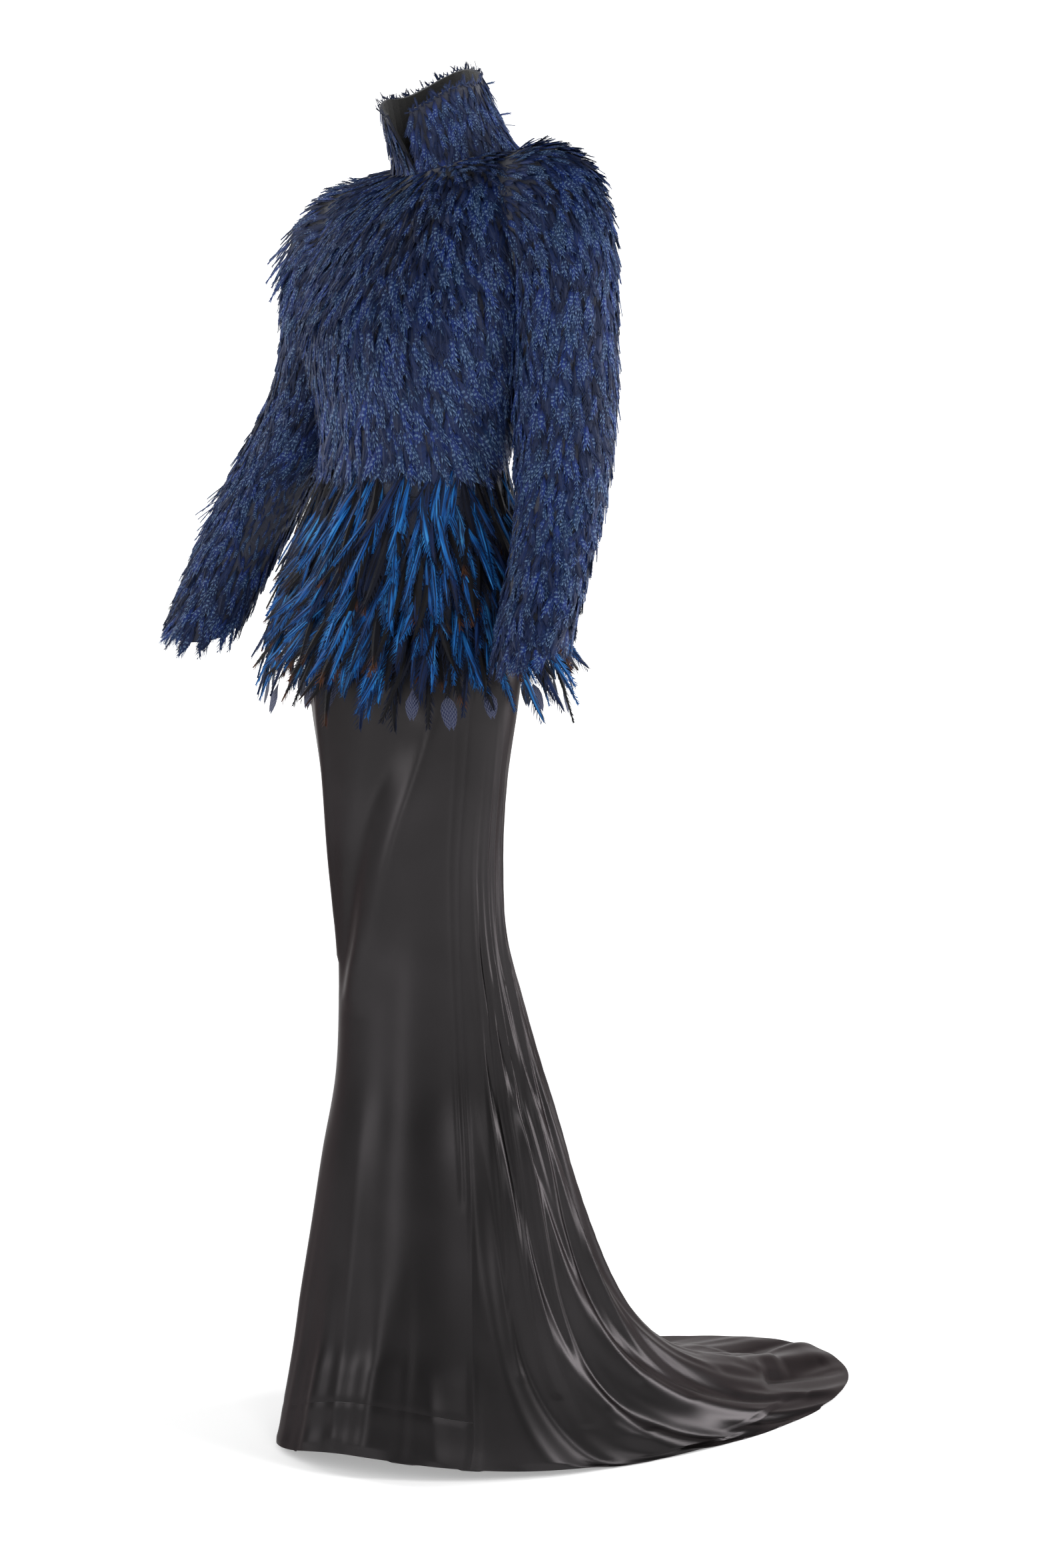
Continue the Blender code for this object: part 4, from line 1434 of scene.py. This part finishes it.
peplum_rows = evenly(0.0, 4.0, 34)
hackles = sown_piece(
    "peplum_hackles",
    ground_mesh("peplum", waist_to_peplum, evenly(0, 360, 90), peplum_rows, peplum_lay),
    hackle_feathers,
    hackle_plumage,
    "blue_hackle_feather",
    seed=21,
    apart=0.0066,
    density=22000.0,
    length=0.098,
    uneven=0.24,
    tilt=0.09,
    turn=0.30,
    sink=0.0,
)
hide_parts("feather_row_upper", "feather_row_middle", "feather_row_lower")

# %% [markdown]
# ## Feathers placed one by one
# Some feathers stand out on their own: the long wisps on both shoulders, a tuft at the right
# elbow, the ragged row along the collar's top edge, a few strays behind the neck and the dotted
# pendants below the hackles. Each is put at an angle and a place on a surface, turned by
# `sweep`, lifted by `rise`, and all of one group are joined into one mesh. The golden section
# and numbers like it spread a group's feathers evenly but without a pattern.

# %% Placed feathers
Placed = namedtuple("Placed", "turn place sweep rise length blade tint")


def joined_feathers(name, surface, rows, kind, finish, mirrored=False):
    blades = list(kind.objects)
    shape = bmesh.new()
    tint = shape.verts.layers.float.new("tint")
    for row in rows:
        turn = math.radians(row.turn)
        down, around = directions(surface, turn, row.place)
        normal = down.cross(around).normalized() * (-1 if mirrored else 1)
        flat = lie(down, around, row.sweep)
        heading = (flat * math.cos(row.rise) + normal * math.sin(row.rise)).normalized()
        side = normal.cross(heading).normalized()
        face = heading.cross(side)
        root = surface(turn, row.place)
        before = len(shape.verts)
        shape.from_mesh(blades[row.blade % len(blades)].data)
        shape.verts.ensure_lookup_table()
        for vert in shape.verts[before:]:
            along, across, high = vert.co * row.length
            vert.co = root + heading * along + side * across + face * high
            vert[tint] = row.tint
    mesh = finished(shape, name)
    mesh.materials.append(finish)
    piece = new_piece(name, mesh)
    print(name, len(rows), "feathers")
    return piece


SPREAD_STEPS = (0.618, 0.382, 0.271, 0.733, 0.447, 0.567)


def spread(k, step):
    """A share from 0 to 1."""
    return (k * step) % 1.0


def scattered(count, *ranges):
    """Feathers within ranges of turn, place, sweep, rise, length and tint: start and span."""
    rows = []
    for k in range(count):
        steps = [spread(k, step) for step in SPREAD_STEPS]
        values = [start + span * step for (start, span), step in zip(ranges, steps)]
        rows.append(Placed(*values[:5], k, values[5]))
    return rows


shoulder_wisps = scattered(
    54, (290, 100), (1.7, 1.5), (0.25, -0.5), (0.12, 0.20), (0.038, 0.018), (0.30, 0.60)
)
elbow_tuft = scattered(
    26, (300, 90), (8.0, 0.9), (0.3, -0.6), (0.20, 0.24), (0.028, 0.010), (0.30, 0.55)
)
left_wisps = scattered(
    28, (-30, 70), (2.0, 1.8), (0.3, -0.6), (0.08, 0.16), (0.030, 0.010), (0.30, 0.60)
)
rim_row = [
    Placed(
        1.5 + 357 * k / 150,
        0.10 + 0.10 * spread(k, 0.382),
        math.pi + 1.3 - 2.6 * spread(k, 0.618),
        0.02 + 0.30 * spread(k, 0.271),
        0.007 + 0.007 * spread(k, 0.733) ** 2,
        k,
        0.12 + 0.3 * spread(k, 0.447),
    )
    for k in range(151)
]
stray_feathers = [
    Placed(150, 0.55, 0.9, 1.05, 0.019, 0, 0.85),
    Placed(158, 0.95, 0.5, 0.90, 0.014, 1, 0.55),
    Placed(146, 1.55, 0.7, 1.00, 0.022, 2, 0.50),
    Placed(152, 1.95, 0.4, 0.95, 0.020, 1, 0.70),
    Placed(163, 2.35, 0.6, 0.80, 0.022, 0, 0.35),
    Placed(230, 0.8, -0.6, 0.90, 0.018, 1, 0.60),
    Placed(204, 1.8, -0.4, 0.85, 0.018, 2, 0.40),
]
right_sleeve = sleeve_surface(RIGHT_SLEEVE, -1)
left_sleeve = sleeve_surface(LEFT_SLEEVE, 1)
for name, surface, rows, kind in (
    ("right_sleeve_wisps", right_sleeve, shoulder_wisps + elbow_tuft, wisp_feathers),
    ("left_sleeve_wisps", left_sleeve, left_wisps, wisp_feathers),
    ("collar_edge_feathers", collar_ground, rim_row, small_feathers),
    ("collar_stray_feathers", collar_ground, stray_feathers, wisp_feathers),
):
    mirrored = surface is right_sleeve
    joined_feathers(name, surface, rows, kind, dotted_plumage, mirrored)

pendant_rows = [
    Placed(-24, 2.85, -0.25, 0.05, 0.110, 1, 0.55),
    Placed(-8, 2.90, -0.10, 0.03, 0.091, 0, 0.62),
    Placed(6, 2.85, -0.12, 0.03, 0.089, 1, 0.65),
    Placed(17, 2.90, -0.05, 0.04, 0.087, 0, 0.77),
    Placed(36, 2.85, 0.02, 0.05, 0.100, 1, 0.76),
    Placed(47, 2.90, 0.05, 0.05, 0.108, 0, 0.78),
    Placed(64, 2.85, 0.10, 0.04, 0.099, 1, 0.77),
    Placed(84, 2.90, 0.16, 0.04, 0.093, 0, 0.70),
    Placed(112, 2.85, 0.20, 0.05, 0.102, 1, 0.76),
    Placed(138, 2.90, 0.16, 0.04, 0.097, 0, 0.67),
    Placed(166, 2.85, 0.10, 0.05, 0.104, 1, 0.77),
    Placed(194, 2.90, 0.04, 0.04, 0.095, 0, 0.73),
    Placed(221, 2.85, -0.05, 0.05, 0.100, 1, 0.77),
    Placed(249, 2.90, -0.12, 0.04, 0.093, 0, 0.64),
    Placed(276, 2.85, -0.20, 0.05, 0.102, 1, 0.76),
    Placed(302, 2.90, -0.26, 0.04, 0.097, 0, 0.71),
    Placed(322, 2.85, -0.26, 0.05, 0.104, 1, 0.77),
]
joined_feathers(
    "peplum_pendants",
    peplum_surface,
    pendant_rows,
    pendant_feathers,
    pendant_plumage,
)

# %% [markdown]
# ## Cloth under the feathers
# The tailored cloth of the bodice, sleeves, collar and peplum is right as the solids have it.
# It only shows between the roots of the feathers and inside the neck and cuffs, so it stays,
# with a dark downy finish. The collar's lining shows inside the front opening.

# %% Cloth finishes
for name in sorted(frame["nodes"]):
    node = frame["nodes"][name]
    if name.startswith(("bodice", "sleeve", "peplum", "collar")):
        finish = dark_lining if name == "collar_lining" else feather_base
        for place in node.material_slots:
            place.material = finish
        print(name, "->", finish.name)

# %% [markdown]
# ## Studio
# The floor and the wall behind are one pale sweep. It glows a little, more so farther from the
# dress, so that it looks white in the picture while little of its light reaches the cloth.
# Large soft lights stand in front, at both sides, behind and above, and a dim white world fills
# the rest, so the cloth gets wide soft highlights.

# %% Sweep and lights
FLOOR_START = -14.0
WALL = 9.8
WALL_TOP = 7.0
CORNER_RADIUS = 1.2
HALF_WIDTH = 13.0


def sweep_mesh():
    shape = bmesh.new()
    floor_end = WALL - CORNER_RADIUS
    profile = [(FLOOR_START, 0.0), (floor_end, 0.0)]
    for i in range(1, 9):
        angle = math.pi / 2 * i / 8
        along, up = math.sin(angle), 1 - math.cos(angle)
        profile.append((floor_end + CORNER_RADIUS * along, CORNER_RADIUS * up))
    profile.append((WALL, WALL_TOP))
    rows = [
        [shape.verts.new((x, y, FLOOR + z)) for y, z in profile] for x in (-HALF_WIDTH, HALF_WIDTH)
    ]
    for i in range(len(profile) - 1):
        shape.faces.new((rows[0][i], rows[1][i], rows[1][i + 1], rows[0][i + 1]))
    shape.transform(Matrix.Rotation(CAMERA_TURN, 4, "Z"))
    mesh = finished(shape, "pale_sweep")
    mesh.shade_smooth()
    return mesh


sweep = bpy.data.objects.new("pale_sweep", sweep_mesh())
scene.collection.objects.link(sweep)
paper = Finish("pale_paper", Roughness=0.9, Emission_Strength=1.0, Specular_IOR_Level=0.1)
where = paper.node("ShaderNodeSeparateXYZ", Vector=paper.on_object())
x, y = paper.number(where, "X"), paper.number(where, "Y")
distance_squared = x * x + y * y
glow = paper.blend(distance_squared.from_to(2.0, 18.0), (0.36, 0.36, 0.36), (0.88, 0.88, 0.88))
paper.plug(glow, paper.shader.inputs["Emission Color"])
sweep.data.materials.append(paper.coat_of((0.86, 0.86, 0.86, 1.0)))
sweep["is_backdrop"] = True


def soft_light(name, turn, distance, height, wide, tall, power, aim_height=-0.55):
    """A large area light at an angle round the dress, aimed at its middle."""
    lamp = bpy.data.lights.new(name, "AREA")
    lamp.shape = "RECTANGLE"
    lamp.size = wide
    lamp.size_y = tall
    lamp.energy = power
    stand = bpy.data.objects.new(name, lamp)
    scene.collection.objects.link(stand)
    angle = CAMERA_TURN + math.radians(turn)
    stand.location = (math.sin(angle) * distance, -math.cos(angle) * distance, height)
    aim = Vector((0.0, 0.0, aim_height)) - stand.location
    stand.rotation_euler = aim.to_track_quat("-Z", "Y").to_euler()
    return stand


soft_light("key", 58, 2.8, 0.7, 0.7, 2.4, 56)
soft_light("fill", -74, 2.7, 0.2, 0.9, 2.3, 28)
soft_light("left_strip", -42, 3.4, -0.3, 0.35, 2.0, 12, -0.9)
soft_light("front", 14, 4.9, 1.0, 1.0, 2.4, 46)
soft_light("top", 170, 1.2, 2.1, 1.8, 1.8, 5)
soft_light("left_rim", -118, 2.5, 0.5, 0.5, 2.2, 26)
soft_light("right_rim", 106, 2.6, -0.42, 0.6, 1.3, 42)

world = bpy.data.worlds.new("studio")
scene.world = world
world.use_nodes = True
sky = world.node_tree.nodes["Background"].inputs
sky["Color"].default_value = (1.0, 1.0, 1.0, 1.0)
sky["Strength"].default_value = 0.24
scene.view_settings.view_transform = "Standard"
print("lights:", [o.name for o in scene.objects if o.type == "LIGHT"])

# %% [markdown]
# ## Sizes
# The box of the dressed model is set beside the box of the solids, and how far each of its
# corners moves is printed in millimetres.

# %% Finish
now_low, now_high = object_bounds()
for cad_corner, corner in ((cad_low, now_low), (cad_high, now_high)):
    grown = [round((b - a) * 1000, 1) for a, b in zip(cad_corner, corner)]
    print("the box moves by, in mm:", grown)
